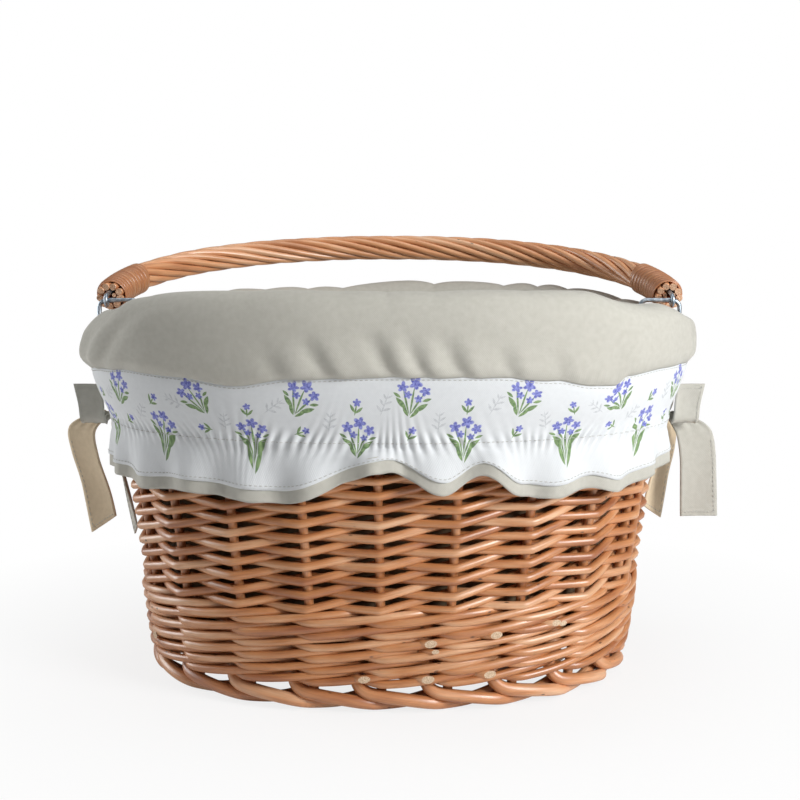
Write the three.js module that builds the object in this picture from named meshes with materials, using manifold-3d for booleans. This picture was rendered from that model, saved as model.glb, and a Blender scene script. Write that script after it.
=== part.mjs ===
// Oval willow bicycle basket with a cloth liner tied over its rim and a roped swing handle.
// Millimetres, +Z up, front towards -Y, origin on the floor under the middle of the basket.
import * as THREE from 'three';
import { mergeVertices } from 'three/addons/utils/BufferGeometryUtils.js';
import Module from 'manifold-3d';

// Clearances
const GAP = 0.3; // between pieces that touch on the real basket
const ROW_GAP = 0.6; // between rows of weaving
const WEAVE_SLACK = 0.6; // between a weaver and the stake that it bends round

// Plan and flare of the wall, measured on the stakes' axes
const FLOOR_HALF_WIDTH = 149;
const RIM_HALF_WIDTH = 177;
const DEPTH_STEP = 36; // half width minus half depth
const OVAL_POWER = 2.25; // 2 is an ellipse, more is squarer

// Stakes and weaving
const STAKE_COUNT = 21; // odd, so that one weaver alternates from round to round
const STAKE_DIAMETER = 6;
const FRONT_STAKE_OFFSET = -5; // along the oval, from the front centre
const WEAVER_THICKNESS = 3.6;
const BACK_STAKE = 10; // where the weavers start and end
const THIN_END = 1.5;
const WALE_HEIGHT = 48;
const WALE_ROUNDS = 7;
const SIDING_HEIGHT = 148.5;
const SIDING_ROUNDS = 13;

// Foot border, base and rim border
const FOOT_HEIGHT = 14.5;
const FOOT_WIDTH = 14;
const FOOT_DIP = 4; // depth of the see-through gaps between the stakes
const FOOT_SWAY = 1.2;
const WALE_LIFT = 2; // wale above the foot border's crests
const BASE_LIFT = 3.5; // base above the foot border's crests
const BASE_THICKNESS = 6;
const BASE_STICK = 6;
const BASE_STICK_SPACING = 34;
const BASE_STICK_DROP = 2.5; // how far the sticks stand below the weave
const RIM_HEIGHT = 14;
const RIM_WIDTH = 16;

// Liner
const CLOTH = 1.6;
const LINER_TOP_DROP = 4; // below the rim border
const LINER_FOLD = 8; // height of the rounded edge round its floor
const CUFF_THICKNESS = 2;
const CUFF_FRONT_RISE = 22; // top above the rim border
const CUFF_BACK_RISE = 16;
const CUFF_SIDE_RISE = 2.4; // beside the handle slits
const CUFF_DIP_LENGTH = 75; // along the oval
const CUFF_BULGE = 21.5; // outwards from the stakes' axes
const CUFF_BULGE_DROP = 7; // below the rim border
const CUFF_LEFT_FALL = 8; // how much lower the outer face is beside the left slit
const CUFF_LEFT_SWELL = 3.5; // how much further out it is there
const SEAM_OUT = 18.5;
const SEAM_DROP = 13; // below the rim border
const SLIT_HALF = 14; // half of the slit at each side, along the oval
const FRILL_MID_OUT = 16;
const FRILL_PINCH = 2.2; // drawn in by the knots at the slits
const FRILL_PINCH_LENGTH = 20; // along the oval
const FRILL_HEM_OUT = 14.5;
const ELASTIC_DROP = 37; // below the seam
const ELASTIC_HEIGHT = 7;
const ELASTIC_THICKNESS = 1.2;
const HEM_DROP = 58.5; // from the seam to the hem's mean top
const HEM_HEIGHT = 7.5;
const FOLD_COUNT = 13; // in each half of the frill
const FOLD_DEPTH = 2.5;
const SCALLOPS = [ // along the oval from the half's middle, and drop below the mean
  [-215, 3], [-166, 3], [-150, 6], [-113, 3.7], [-58, 7.2], [0, -12.5], [30, 1], [50, -9.8],
  [73, 4], [88, 5.7], [113, 2], [132, 6.5], [166, 1.2], [215, -4],
];

// Ties: each path is outwards, along Y and down from the knot's bottom
const RIBBON_WIDTH = 25;
const RIBBON_NECK = 10; // gathered width at the knot
const RIBBON_STEPS = 10;
const KNOT_OUT = 12; // from the stakes' axis
const KNOT_RISE = 8; // above the elastic
const KNOT_OUT_HALF = 4.4;
const KNOT_HEIGHT_HALF = 9;
const FLAP_PATH = [[2, -8, -0.7], [8.7, -14.5, 4.5], [10.1, -20, 2], [10.9, -21.5, -9], [13.1, -21, -21]];
const FLAP_TURN = 0.25; // radians from facing the front
const FLAP_WIDTH = 18;
const LEFT_TAIL_PATH = [
  [1.7, -2.5, 0.3], [10, -5, 3], [20.2, -7, 11], [18.6, -7.5, 27], [12.4, -7, 49], [7.4, -6.5, 75],
];
const LEFT_TAIL_TURN = 0.6;
const RIGHT_TAIL_PATH = [
  [1.7, -2.5, 0.3], [10, -4, 4], [18.4, -5, 12], [21.8, -5, 27], [23, -4.5, 47], [23.8, -4, 70],
];
const RIGHT_TAIL_TURN = 0;
const LEFT_BACK_PATH = [[-1, 6, 0.4], [2, 8, 10], [0.5, 10, 28], [-4, 11, 52], [-10.5, 11, 82]];
const LEFT_BACK_TURN = 1.3;
const RIGHT_BACK_PATH = [[-1, 6, 0.4], [3, 8, 10], [3, 10, 28], [-1, 11, 48], [-5, 11, 70]];
const RIGHT_BACK_TURN = 0.9;

// Handle
const HANDLE_REACH = 152; // from the pivots to the crest, in the handle's plane
const HANDLE_OUT = 10; // pivots outwards from the rim's stake axis
const HANDLE_POWER = 2.2;
const HANDLE_TILT = THREE.MathUtils.degToRad(12.5); // folded back
const PIVOT_RISE = 9.4; // above the rim border
const STRAND_COUNT = 9;
const STRAND_DIAMETER = 4.4;
const STRAND_TURNS = 3;
const STRAND_STEPS = 34;
const CUT_BACK = 9; // from the pivot to the strands' cut ends
const SKEIN_WIDTH = 5.2;
const SKEIN_THICKNESS = 1.5;
const SKEIN_PITCH = 6.8;
const SKEIN_TURNS = 7;
const SKEIN_STEPS = 14; // in one turn
const CORE_WIRE = 2.8;
const EYE_CLEARANCE = 0.45; // round the staple's bar
const STAPLE_WIRE = 3;
const STAPLE_OUT = 15; // outer leg from the stakes' axis
const STAPLE_CORNER = 5;

// Heights that follow
const footTop = FOOT_HEIGHT;
const waleBottom = footTop + WALE_LIFT;
const waleTop = waleBottom + WALE_HEIGHT;
const sidingBottom = waleTop + ROW_GAP;
const sidingTop = sidingBottom + SIDING_HEIGHT;
const rimBottom = sidingTop + STAPLE_WIRE + 2 * GAP;
const rimTop = rimBottom + RIM_HEIGHT;
const baseBottom = footTop + BASE_LIFT;
const baseTop = baseBottom + BASE_THICKNESS;
const linerBottom = baseTop + GAP;
const linerTop = rimBottom - LINER_TOP_DROP;
const seamZ = rimBottom - SEAM_DROP;
const frillTop = seamZ - GAP;
const elasticZ = seamZ - ELASTIC_DROP;
const hemMeanTop = seamZ - HEM_DROP;
const frillMidZ = (frillTop + elasticZ) / 2;
const knotZ = elasticZ + KNOT_RISE;
const pivotZ = rimTop + PIVOT_RISE;

// Offsets from the stakes' axes that follow
const weaverOut = (STAKE_DIAMETER + WEAVER_THICKNESS) / 2 + WEAVE_SLACK;
const weaveFace = weaverOut + WEAVER_THICKNESS / 2;
const baseOut = -(weaveFace + GAP);
const linerOut = -(weaveFace + 2 * GAP);
const elasticOut = weaveFace + 2 * GAP + ELASTIC_THICKNESS / 2 + GAP;
const frillWaistOut = elasticOut + ELASTIC_THICKNESS / 2 + GAP + CLOTH / 2;

// Closed geometry from points and triangles, turned so that its faces point out
function closedGeometry(points, faces) {
  let volume = 0;
  for (let i = 0; i < faces.length; i += 3) {
    const [a, b, c] = [points[faces[i]], points[faces[i + 1]], points[faces[i + 2]]];
    volume += a.dot(new THREE.Vector3().crossVectors(b, c));
  }
  if (volume < 0) faces.reverse();
  const geometry = new THREE.BufferGeometry().setFromPoints(points);
  geometry.setIndex(faces);
  geometry.computeVertexNormals();
  return geometry;
}

// Skin over rings of equal length, capped at both ends or joined end to end
function ringGeometry(rings, loop = false) {
  const sides = rings[0].length;
  const faces = [];
  const spans = loop ? rings.length : rings.length - 1;
  for (let i = 0; i < spans; i++) {
    const here = i * sides;
    const next = ((i + 1) % rings.length) * sides;
    for (let k = 0; k < sides; k++) {
      const l = (k + 1) % sides;
      faces.push(here + k, here + l, next + l, here + k, next + l, next + k);
    }
  }
  if (!loop) {
    const last = (rings.length - 1) * sides;
    for (let k = 1; k < sides - 1; k++) {
      faces.push(0, k + 1, k, last, last + k, last + k + 1);
    }
  }
  return closedGeometry(rings.flat(), faces);
}

// Closed sheet between two grids of points with the same rows and columns
function sheetGeometry(outer, inner) {
  const rows = outer.length;
  const columns = outer[0].length;
  const under = rows * columns;
  const faces = [];
  const quad = (a, b, c, d) => faces.push(a, b, c, a, c, d);
  for (let i = 0; i < rows - 1; i++) {
    for (let j = 0; j < columns - 1; j++) {
      const a = i * columns + j;
      const d = a + columns;
      quad(a, a + 1, d + 1, d);
      quad(under + d, under + d + 1, under + a + 1, under + a);
    }
  }
  const border = [];
  for (let j = 0; j < columns - 1; j++) border.push(j);
  for (let i = 0; i < rows - 1; i++) border.push(i * columns + columns - 1);
  for (let j = columns - 1; j > 0; j--) border.push((rows - 1) * columns + j);
  for (let i = rows - 1; i > 0; i--) border.push(i * columns);
  border.forEach((here, k) => {
    const next = border[(k + 1) % border.length];
    quad(next, here, under + here, under + next);
  });
  return closedGeometry([...outer.flat(), ...inner.flat()], faces);
}

// Round wire along points, its section carried from point to point without twist
function wireGeometry(points, diameter, sides, loop = false) {
  const count = points.length;
  const tangents = points.map((point, i) => {
    const before = loop ? points[(i + count - 1) % count] : points[Math.max(i - 1, 0)];
    const after = loop ? points[(i + 1) % count] : points[Math.min(i + 1, count - 1)];
    return after.clone().sub(before).normalize();
  });
  const across = new THREE.Vector3(0, 1, 0);
  if (Math.abs(tangents[0].y) > 0.7) across.set(1, 0, 0);
  const rings = points.map((point, i) => {
    across.addScaledVector(tangents[i], -across.dot(tangents[i])).normalize();
    const up = new THREE.Vector3().crossVectors(tangents[i], across);
    return Array.from({ length: sides }, (_, k) => {
      const turn = (2 * Math.PI * k) / sides;
      return point.clone()
        .addScaledVector(across, Math.cos(turn) * diameter / 2)
        .addScaledVector(up, Math.sin(turn) * diameter / 2);
    });
  });
  return ringGeometry(rings, loop);
}

// Least distance between points of one round and points of the next rounds of a wound band
function leastGap(rings, perRound) {
  let least = Infinity;
  for (let i = 0; i + perRound - 1 < rings.length; i++) {
    for (let j = i + perRound - 1; j < Math.min(i + perRound + 2, rings.length); j++) {
      for (const a of rings[i]) {
        for (const b of rings[j]) least = Math.min(least, a.distanceTo(b));
      }
    }
  }
  return least;
}

// Rounded oval, used for the wall's plan and for the handle's arch
function ovalPoint(angle, halfWidth, halfDepth, power) {
  const across = Math.abs(Math.cos(angle)) / halfWidth;
  const along = Math.abs(Math.sin(angle)) / halfDepth;
  const radius = (across ** power + along ** power) ** (-1 / power);
  return new THREE.Vector2(Math.cos(angle), Math.sin(angle)).multiplyScalar(radius);
}

function ovalNormal(point, halfWidth, halfDepth, power) {
  const slope = (value, half) => Math.sign(value) * Math.abs(value / half) ** (power - 1) / half;
  return new THREE.Vector2(slope(point.x, halfWidth), slope(point.y, halfDepth)).normalize();
}

// Length along an oval against its polar angle, from one angle to another
function measureOval(from, to, halfWidth, halfDepth, power, samples = 2000) {
  const angles = [from];
  const lengths = [0];
  let last = ovalPoint(from, halfWidth, halfDepth, power);
  for (let i = 1; i <= samples; i++) {
    const angle = from + (to - from) * i / samples;
    const point = ovalPoint(angle, halfWidth, halfDepth, power);
    angles.push(angle);
    lengths.push(lengths[i - 1] + point.distanceTo(last));
    last = point;
  }
  const total = lengths[samples];
  const angleAt = (length) => {
    let low = 0;
    let high = samples;
    while (high - low > 1) {
      const middle = (low + high) >> 1;
      if (lengths[middle] > length) high = middle;
      else low = middle;
    }
    const share = (length - lengths[low]) / (lengths[high] - lengths[low]);
    return angles[low] + share * (angles[high] - angles[low]);
  };
  return { total, angleAt };
}

// The wall: lengths along it are measured half way up, from the front centre to the right
const middleHalfWidth = (FLOOR_HALF_WIDTH + RIM_HALF_WIDTH) / 2;
const wallOval = measureOval(
  -Math.PI / 2, 3 * Math.PI / 2, middleHalfWidth, middleHalfWidth - DEPTH_STEP, OVAL_POWER);
const quarter = wallOval.total / 4;
const stakeSpacing = wallOval.total / STAKE_COUNT;

function wallAngle(length) {
  const turns = Math.floor(length / wallOval.total);
  return wallOval.angleAt(length - turns * wallOval.total);
}

function halfWidthAt(z) {
  return FLOOR_HALF_WIDTH + (RIM_HALF_WIDTH - FLOOR_HALF_WIDTH) * z / rimBottom;
}

function wallPoint(length, z, out) {
  const halfWidth = halfWidthAt(z);
  const halfDepth = halfWidth - DEPTH_STEP;
  const point = ovalPoint(wallAngle(length), halfWidth, halfDepth, OVAL_POWER);
  point.addScaledVector(ovalNormal(point, halfWidth, halfDepth, OVAL_POWER), out);
  return new THREE.Vector3(point.x, point.y, z);
}

const stakeLength = (index) => FRONT_STAKE_OFFSET + index * stakeSpacing;

// Ring of wall points at one height, with a given number of points for each stake
function wallRing(z, out, perStake = 2) {
  return Array.from({ length: STAKE_COUNT * perStake },
    (_, i) => wallPoint(stakeLength(i / perStake), z, out));
}

// Materials
const finish = (color, roughness, metalness = 0) =>
  new THREE.MeshStandardMaterial({ color, roughness, metalness });
const willow = finish('#c08456', 0.55);
const darkWillow = finish('#a5693f', 0.6);
const skein = finish('#b9774c', 0.5);
const beigeCloth = finish('#c9c6b8', 0.92);
const printCloth = finish('#eceded', 0.9);
const elasticTape = finish('#f2f1ec', 0.8);
const galvanisedWire = finish('#a9b4be', 0.4, 1);

const basket = new THREE.Group();
const handle = new THREE.Group();

function addPiece(group, name, geometry, material) {
  const mesh = new THREE.Mesh(geometry, material);
  mesh.name = name;
  group.add(mesh);
}

// Stakes: upright rods from the foot border to the rim border
function stakeGeometry(index) {
  const bottom = footTop + GAP;
  const top = rimBottom - GAP;
  const sides = 6;
  const rings = [0, 0.35, 0.7, 1].map((share) => {
    const centre = wallPoint(stakeLength(index), bottom + (top - bottom) * share, 0);
    return Array.from({ length: sides }, (_, k) => {
      const turn = (2 * Math.PI * k) / sides;
      const side = new THREE.Vector3(Math.cos(turn), Math.sin(turn), 0);
      return centre.clone().addScaledVector(side, STAKE_DIAMETER / 2);
    });
  });
  return ringGeometry(rings);
}

for (let i = 0; i < STAKE_COUNT; i++) {
  addPiece(basket, `stake_${String(i + 1).padStart(2, '0')}`, stakeGeometry(i), willow);
}

// Weavers: one flat band climbing round the stakes, outside or inside each of them in turn.
// It starts and ends thin at the back, so that its first and last rounds lie level.
function weaverRings(bottom, height, rounds, isInside) {
  const pitch = height / (rounds - 1);
  const half = WEAVER_THICKNESS / 2;
  const rings = [];
  for (let i = 0; i <= rounds * STAKE_COUNT; i++) {
    const climbed = pitch * i / STAKE_COUNT;
    const low = bottom + Math.max(climbed - pitch, 0);
    const high = bottom + Math.min(climbed - ROW_GAP, height);
    if (high - low < THIN_END) continue;
    const out = isInside(i) ? -weaverOut : weaverOut;
    const at = stakeLength(i + BACK_STAKE);
    rings.push([
      wallPoint(at, low, out - half), wallPoint(at, low, out + half),
      wallPoint(at, high, out + half), wallPoint(at, high, out - half),
    ]);
  }
  return rings;
}

const isWaleInside = (i) => (i + Math.floor(i / STAKE_COUNT)) % 3 === 2;
const isSidingInside = (i) => i % 2 === 1;
const waleRings = weaverRings(waleBottom, WALE_HEIGHT, WALE_ROUNDS, isWaleInside);
const sidingRings = weaverRings(sidingBottom, SIDING_HEIGHT, SIDING_ROUNDS, isSidingInside);
console.log('wale_weaver least gap to itself, mm:', leastGap(waleRings, STAKE_COUNT).toFixed(2));
console.log('siding_weaver least gap to itself, mm:', leastGap(sidingRings, STAKE_COUNT).toFixed(2));
addPiece(basket, 'wale_weaver', ringGeometry(waleRings), darkWillow);
addPiece(basket, 'siding_weaver', ringGeometry(sidingRings), willow);

// Foot border: flat under its whole length, with a crest under each stake
function footGeometry() {
  const perStake = 3;
  const half = FOOT_WIDTH / 2;
  const rings = Array.from({ length: STAKE_COUNT * perStake }, (_, i) => {
    const phase = 2 * Math.PI * i / perStake;
    const top = footTop - FOOT_DIP * (1 - Math.cos(phase)) / 2;
    const sway = FOOT_SWAY * Math.sin(phase);
    const section = [
      [-half * 0.7, 0], [half * 0.7, 0], [half, top * 0.4],
      [half * 0.6, top], [-half * 0.6, top], [-half, top * 0.4],
    ];
    return section.map(([out, z]) => wallPoint(stakeLength(i / perStake), z, out + sway));
  });
  return ringGeometry(rings, true);
}

addPiece(basket, 'foot_border', footGeometry(), darkWillow);

// Base: an oval of weaving on crossed sticks that stand out below it
const wasm = await Module();
wasm.setup();

function toSolid(geometry) {
  const bare = geometry.clone();
  bare.deleteAttribute('normal');
  bare.deleteAttribute('uv');
  const merged = mergeVertices(bare, 1e-4);
  return new wasm.Manifold(new wasm.Mesh({
    numProp: 3,
    vertProperties: new Float32Array(merged.attributes.position.array),
    triVerts: new Uint32Array(merged.index.array),
  }));
}

function fromSolid(solid) {
  const mesh = solid.getMesh();
  const geometry = new THREE.BufferGeometry();
  geometry.setAttribute('position', new THREE.BufferAttribute(mesh.vertProperties, 3));
  geometry.setIndex(new THREE.BufferAttribute(mesh.triVerts, 1));
  geometry.computeVertexNormals();
  return geometry;
}

function baseGeometry() {
  const stickBottom = baseBottom - BASE_STICK_DROP;
  const middle = (stickBottom + baseTop) / 2;
  const width = 2 * FLOOR_HALF_WIDTH;
  const stick = (alongX, offset) => {
    const size = alongX ? [width, BASE_STICK] : [BASE_STICK, width];
    const box = new THREE.BoxGeometry(...size, middle - stickBottom);
    const place = alongX ? [0, offset] : [offset, 0];
    return toSolid(box.translate(...place, (middle + stickBottom) / 2));
  };
  let sticks = stick(true, 0);
  for (const side of [-1, 1]) sticks = sticks.add(stick(true, side * BASE_STICK_SPACING));
  for (let k = -3; k <= 3; k++) sticks = sticks.add(stick(false, k * BASE_STICK_SPACING));
  const oval = (bottom) => toSolid(ringGeometry(
    [wallRing(bottom, baseOut, 1), wallRing(baseTop, baseOut, 1)]));
  return fromSolid(sticks.intersect(oval(stickBottom)).add(oval(baseBottom)));
}

addPiece(basket, 'base_weave', baseGeometry(), darkWillow);

// Rim border: the laid-down stake ends that the liner's cuff covers
function rimGeometry() {
  const half = RIM_WIDTH / 2;
  const section = [
    [-half, rimBottom + RIM_HEIGHT / 2], [-half / 2, rimBottom], [half / 2, rimBottom],
    [half, rimBottom + RIM_HEIGHT / 2], [half / 2, rimTop], [-half / 2, rimTop],
  ];
  const rings = Array.from({ length: STAKE_COUNT * 2 }, (_, i) =>
    section.map(([out, z]) => wallPoint(stakeLength(i / 2), z, out)));
  return ringGeometry(rings, true);
}

addPiece(basket, 'rim_border', rimGeometry(), willow);

// Liner bag: a cloth wall and floor, open at the top
function linerGeometry() {
  const innerOut = linerOut - CLOTH;
  const middle = (linerBottom + linerTop) / 2;
  return ringGeometry([
    wallRing(linerBottom, linerOut - LINER_FOLD / 2),
    wallRing(linerBottom + LINER_FOLD, linerOut),
    wallRing(middle, linerOut),
    wallRing(linerTop, linerOut),
    wallRing(linerTop, innerOut),
    wallRing(middle, innerOut),
    wallRing(linerBottom + LINER_FOLD, innerOut),
    wallRing(linerBottom + CLOTH, innerOut - LINER_FOLD / 2),
  ]);
}

addPiece(basket, 'liner_bag', linerGeometry(), beigeCloth);

// Cloth strips along one half of the oval, each from a profile of [out, z] points
const halfStart = (half) => (2 * half - 1) * quarter + SLIT_HALF;
const halfSpan = 2 * (quarter - SLIT_HALF);

function stripGeometry(half, columns, thickness, profileAt) {
  const outer = [];
  const inner = [];
  for (let j = 0; j <= columns; j++) {
    const share = j / columns;
    const at = halfStart(half) + halfSpan * share;
    const profile = profileAt(share, half).map(([out, z]) => new THREE.Vector2(out, z));
    profile.forEach((point, i) => {
      const before = profile[Math.max(i - 1, 0)];
      const after = profile[Math.min(i + 1, profile.length - 1)];
      const along = after.clone().sub(before).normalize();
      const offset = new THREE.Vector2(-along.y, along.x).multiplyScalar(thickness / 2);
      const isEdge = i === 0 || i === profile.length - 1;
      if (isEdge) offset.set(Math.sign(offset.x) * thickness / 2, 0);
      const one = point.clone().add(offset);
      const two = point.clone().sub(offset);
      (outer[i] ??= []).push(wallPoint(at, one.y, one.x));
      (inner[i] ??= []).push(wallPoint(at, two.y, two.x));
    });
  }
  return sheetGeometry(outer, inner);
}

// Cuff: rolled over the rim border, puffed at front and back, low beside the handle
function cuffProfile(share, half) {
  const fromSlit = halfSpan * Math.min(share, 1 - share);
  const low = Math.exp(-((fromSlit / CUFF_DIP_LENGTH) ** 2));
  const atLeft = (share < 0.5) === (half === 0) ? low : 0;
  const rise = half === 0 ? CUFF_FRONT_RISE : CUFF_BACK_RISE;
  const crown = rise + (CUFF_SIDE_RISE - rise) * low - CUFF_THICKNESS / 2;
  const fall = CUFF_LEFT_FALL * atLeft;
  const bulge = CUFF_BULGE + CUFF_LEFT_SWELL * atLeft;
  const skirt = -(RIM_WIDTH / 2 + 2 * GAP + CUFF_THICKNESS / 2);
  return [
    [skirt, linerTop + 2 * GAP],
    [skirt - GAP, rimTop - RIM_HEIGHT / 4],
    [skirt * 0.84, rimTop + crown * 0.45],
    [skirt * 0.26, rimTop + crown * 0.9],
    [bulge * 0.2, rimTop + crown],
    [bulge * 0.58, rimTop + crown * 0.82 - RIM_HEIGHT / 14 - fall * 0.7],
    [bulge * 0.88, rimTop + crown * 0.35 - RIM_HEIGHT / 3 - fall * 1.2],
    [bulge, rimBottom - CUFF_BULGE_DROP],
    [SEAM_OUT, seamZ],
  ];
}

// Drop of the scalloped hem at a place along one half, eased between the chosen points
function scallopAt(length) {
  const last = SCALLOPS.length - 1;
  let k = 0;
  while (k < last - 1 && length > SCALLOPS[k + 1][0]) k++;
  const [from, to] = [SCALLOPS[k], SCALLOPS[k + 1]];
  return from[1] + (to[1] - from[1]) * THREE.MathUtils.smoothstep(length, from[0], to[0]);
}

const hemTopAt = (share) => hemMeanTop - scallopAt(halfSpan * (share - 0.5));
const foldAt = (share) => FOLD_DEPTH * Math.sin(2 * Math.PI * FOLD_COUNT * share);

// Frill: from the seam to the hem, drawn in at the elastic and folded below it
function frillProfile(share) {
  const hemTop = hemTopAt(share);
  const fold = foldAt(share);
  const fromSlit = halfSpan * Math.min(share, 1 - share);
  const pinch = FRILL_PINCH * Math.exp(-((fromSlit / FRILL_PINCH_LENGTH) ** 2));
  return [
    [SEAM_OUT, frillTop],
    [FRILL_MID_OUT - pinch, frillMidZ],
    [frillWaistOut, elasticZ],
    [(frillWaistOut + FRILL_HEM_OUT + fold) / 2, (elasticZ + hemTop) / 2],
    [FRILL_HEM_OUT + fold, hemTop],
  ];
}

function hemProfile(share) {
  const top = hemTopAt(share) - GAP;
  const out = FRILL_HEM_OUT + foldAt(share);
  return [[out, top], [out, top - HEM_HEIGHT]];
}

function elasticProfile() {
  return [[elasticOut, elasticZ + ELASTIC_HEIGHT / 2], [elasticOut, elasticZ - ELASTIC_HEIGHT / 2]];
}

['front', 'back'].forEach((name, half) => {
  const add = (piece, geometry, material) => addPiece(basket, `${piece}_${name}`, geometry, material);
  add('cuff', stripGeometry(half, 28, CUFF_THICKNESS, cuffProfile), beigeCloth);
  add('frill', stripGeometry(half, 4 * FOLD_COUNT, CLOTH, frillProfile), printCloth);
  add('hem', stripGeometry(half, 4 * FOLD_COUNT, CLOTH, hemProfile), beigeCloth);
  add('elastic', stripGeometry(half, 2 * FOLD_COUNT, ELASTIC_THICKNESS, elasticProfile), elasticTape);
});

// Ties at each slit: a knot between the frills' corners, a flap and two hanging tails
const knotX = halfWidthAt(knotZ) + KNOT_OUT;
const knotBottom = knotZ - KNOT_HEIGHT_HALF;

function knotGeometry(side) {
  const frillCorner = wallPoint(quarter - SLIT_HALF, knotZ, FRILL_MID_OUT - FRILL_PINCH);
  const ball = new THREE.SphereGeometry(1, 12, 8);
  ball.scale(KNOT_OUT_HALF, -frillCorner.y - GAP, KNOT_HEIGHT_HALF);
  ball.translate(side * knotX, 0, knotZ);
  return ball;
}

function ribbonGeometry(side, path, turn, width) {
  const curve = new THREE.CatmullRomCurve3(path.map(([out, y, drop]) =>
    new THREE.Vector3(side * (knotX + out), y, knotBottom - drop)));
  const across = new THREE.Vector3(side * Math.cos(turn), Math.sin(turn), 0);
  const outer = [];
  const inner = [];
  for (let i = 0; i <= RIBBON_STEPS; i++) {
    const share = i / RIBBON_STEPS;
    const centre = curve.getPoint(share);
    const face = curve.getTangent(share).cross(across).normalize().multiplyScalar(CLOTH / 2);
    const full = RIBBON_NECK + (width - RIBBON_NECK) * THREE.MathUtils.smoothstep(share, 0, 0.4);
    const row = [-0.5, 0, 0.5].map((place) => centre.clone().addScaledVector(across, place * full));
    outer.push(row.map((point) => point.clone().add(face)));
    inner.push(row.map((point) => point.clone().sub(face)));
  }
  return sheetGeometry(outer, inner);
}

for (const [name, side, tailPath, tailTurn, backPath, backTurn] of [
  ['left', -1, LEFT_TAIL_PATH, LEFT_TAIL_TURN, LEFT_BACK_PATH, LEFT_BACK_TURN],
  ['right', 1, RIGHT_TAIL_PATH, RIGHT_TAIL_TURN, RIGHT_BACK_PATH, RIGHT_BACK_TURN],
]) {
  const add = (piece, geometry) => addPiece(basket, `tie_${piece}_${name}`, geometry, beigeCloth);
  add('knot', knotGeometry(side));
  add('flap', ribbonGeometry(side, FLAP_PATH, FLAP_TURN, FLAP_WIDTH));
  add('tail_front', ribbonGeometry(side, tailPath, tailTurn, RIBBON_WIDTH));
  add('tail_back', ribbonGeometry(side, backPath, backTurn, RIBBON_WIDTH));
}

// Pivot staples: wire loops round the rim border, each with a level bar for the handle's eye
function stapleGeometry(side) {
  const inLeg = RIM_HALF_WIDTH - RIM_WIDTH / 2 - GAP - STAPLE_WIRE;
  const outLeg = RIM_HALF_WIDTH + STAPLE_OUT;
  const low = rimBottom - GAP - STAPLE_WIRE / 2;
  const corners = [[outLeg, pivotZ], [inLeg, pivotZ], [inLeg, low], [outLeg, low]];
  const centreX = (inLeg + outLeg) / 2;
  const centreZ = (pivotZ + low) / 2;
  const points = [];
  corners.forEach(([x, z], k) => {
    const pivotX = x - Math.sign(x - centreX) * STAPLE_CORNER;
    const cornerZ = z - Math.sign(z - centreZ) * STAPLE_CORNER;
    for (let i = 0; i <= 3; i++) {
      const turn = (k + i / 3) * Math.PI / 2;
      points.push(new THREE.Vector3(
        side * (pivotX + STAPLE_CORNER * Math.cos(turn)), 0,
        cornerZ + STAPLE_CORNER * Math.sin(turn)));
    }
  });
  return wireGeometry(points, STAPLE_WIRE, 8, true);
}

addPiece(basket, 'pivot_staple_left', stapleGeometry(-1), galvanisedWire);
addPiece(basket, 'pivot_staple_right', stapleGeometry(1), galvanisedWire);

// Handle, modelled flat: pivots on the X axis, arch towards +Y, turned up to its folded place
const pivotX = RIM_HALF_WIDTH + HANDLE_OUT;
const archSize = [pivotX, HANDLE_REACH, HANDLE_POWER];
const arch = measureOval(Math.PI, 0, ...archSize);
const strandRing = (STRAND_DIAMETER + GAP) / (2 * Math.sin(Math.PI / STRAND_COUNT));
const strandOuter = strandRing + STRAND_DIAMETER / 2;

function archFrame(length) {
  const point = ovalPoint(arch.angleAt(length), ...archSize);
  const normal = ovalNormal(point, ...archSize);
  return {
    centre: new THREE.Vector3(point.x, point.y, 0),
    out: new THREE.Vector3(normal.x, normal.y, 0),
    along: new THREE.Vector3(normal.y, -normal.x, 0),
    up: new THREE.Vector3(0, 0, 1),
  };
}

// Point of the arch's section, at a distance and a turn from its centre
function archPoint(frame, radius, turn) {
  return frame.centre.clone()
    .addScaledVector(frame.out, radius * Math.cos(turn))
    .addScaledVector(frame.up, radius * Math.sin(turn));
}

// Stations of the rope from cut end to cut end, with the rope's turn at each of them
const ropeStations = Array.from({ length: STRAND_STEPS + 1 }, (_, i) => {
  const share = i / STRAND_STEPS;
  return {
    frame: archFrame(CUT_BACK + (arch.total - 2 * CUT_BACK) * share),
    turn: Math.PI / 2 + 2 * Math.PI * STRAND_TURNS * share,
  };
});

function strandGeometry(index) {
  const sides = 4;
  const rings = ropeStations.map(({ frame, turn }) => {
    const place = turn + 2 * Math.PI * (index + 0.5) / STRAND_COUNT;
    const centre = archPoint(frame, strandRing, place);
    return Array.from({ length: sides }, (_, k) => {
      const corner = place + 2 * Math.PI * k / sides;
      return centre.clone().add(
        archPoint(frame, STRAND_DIAMETER / 2, corner).sub(frame.centre));
    });
  });
  return ringGeometry(rings);
}

for (let i = 0; i < STRAND_COUNT; i++) {
  addPiece(handle, `handle_strand_${i + 1}`, strandGeometry(i), willow);
}

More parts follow.
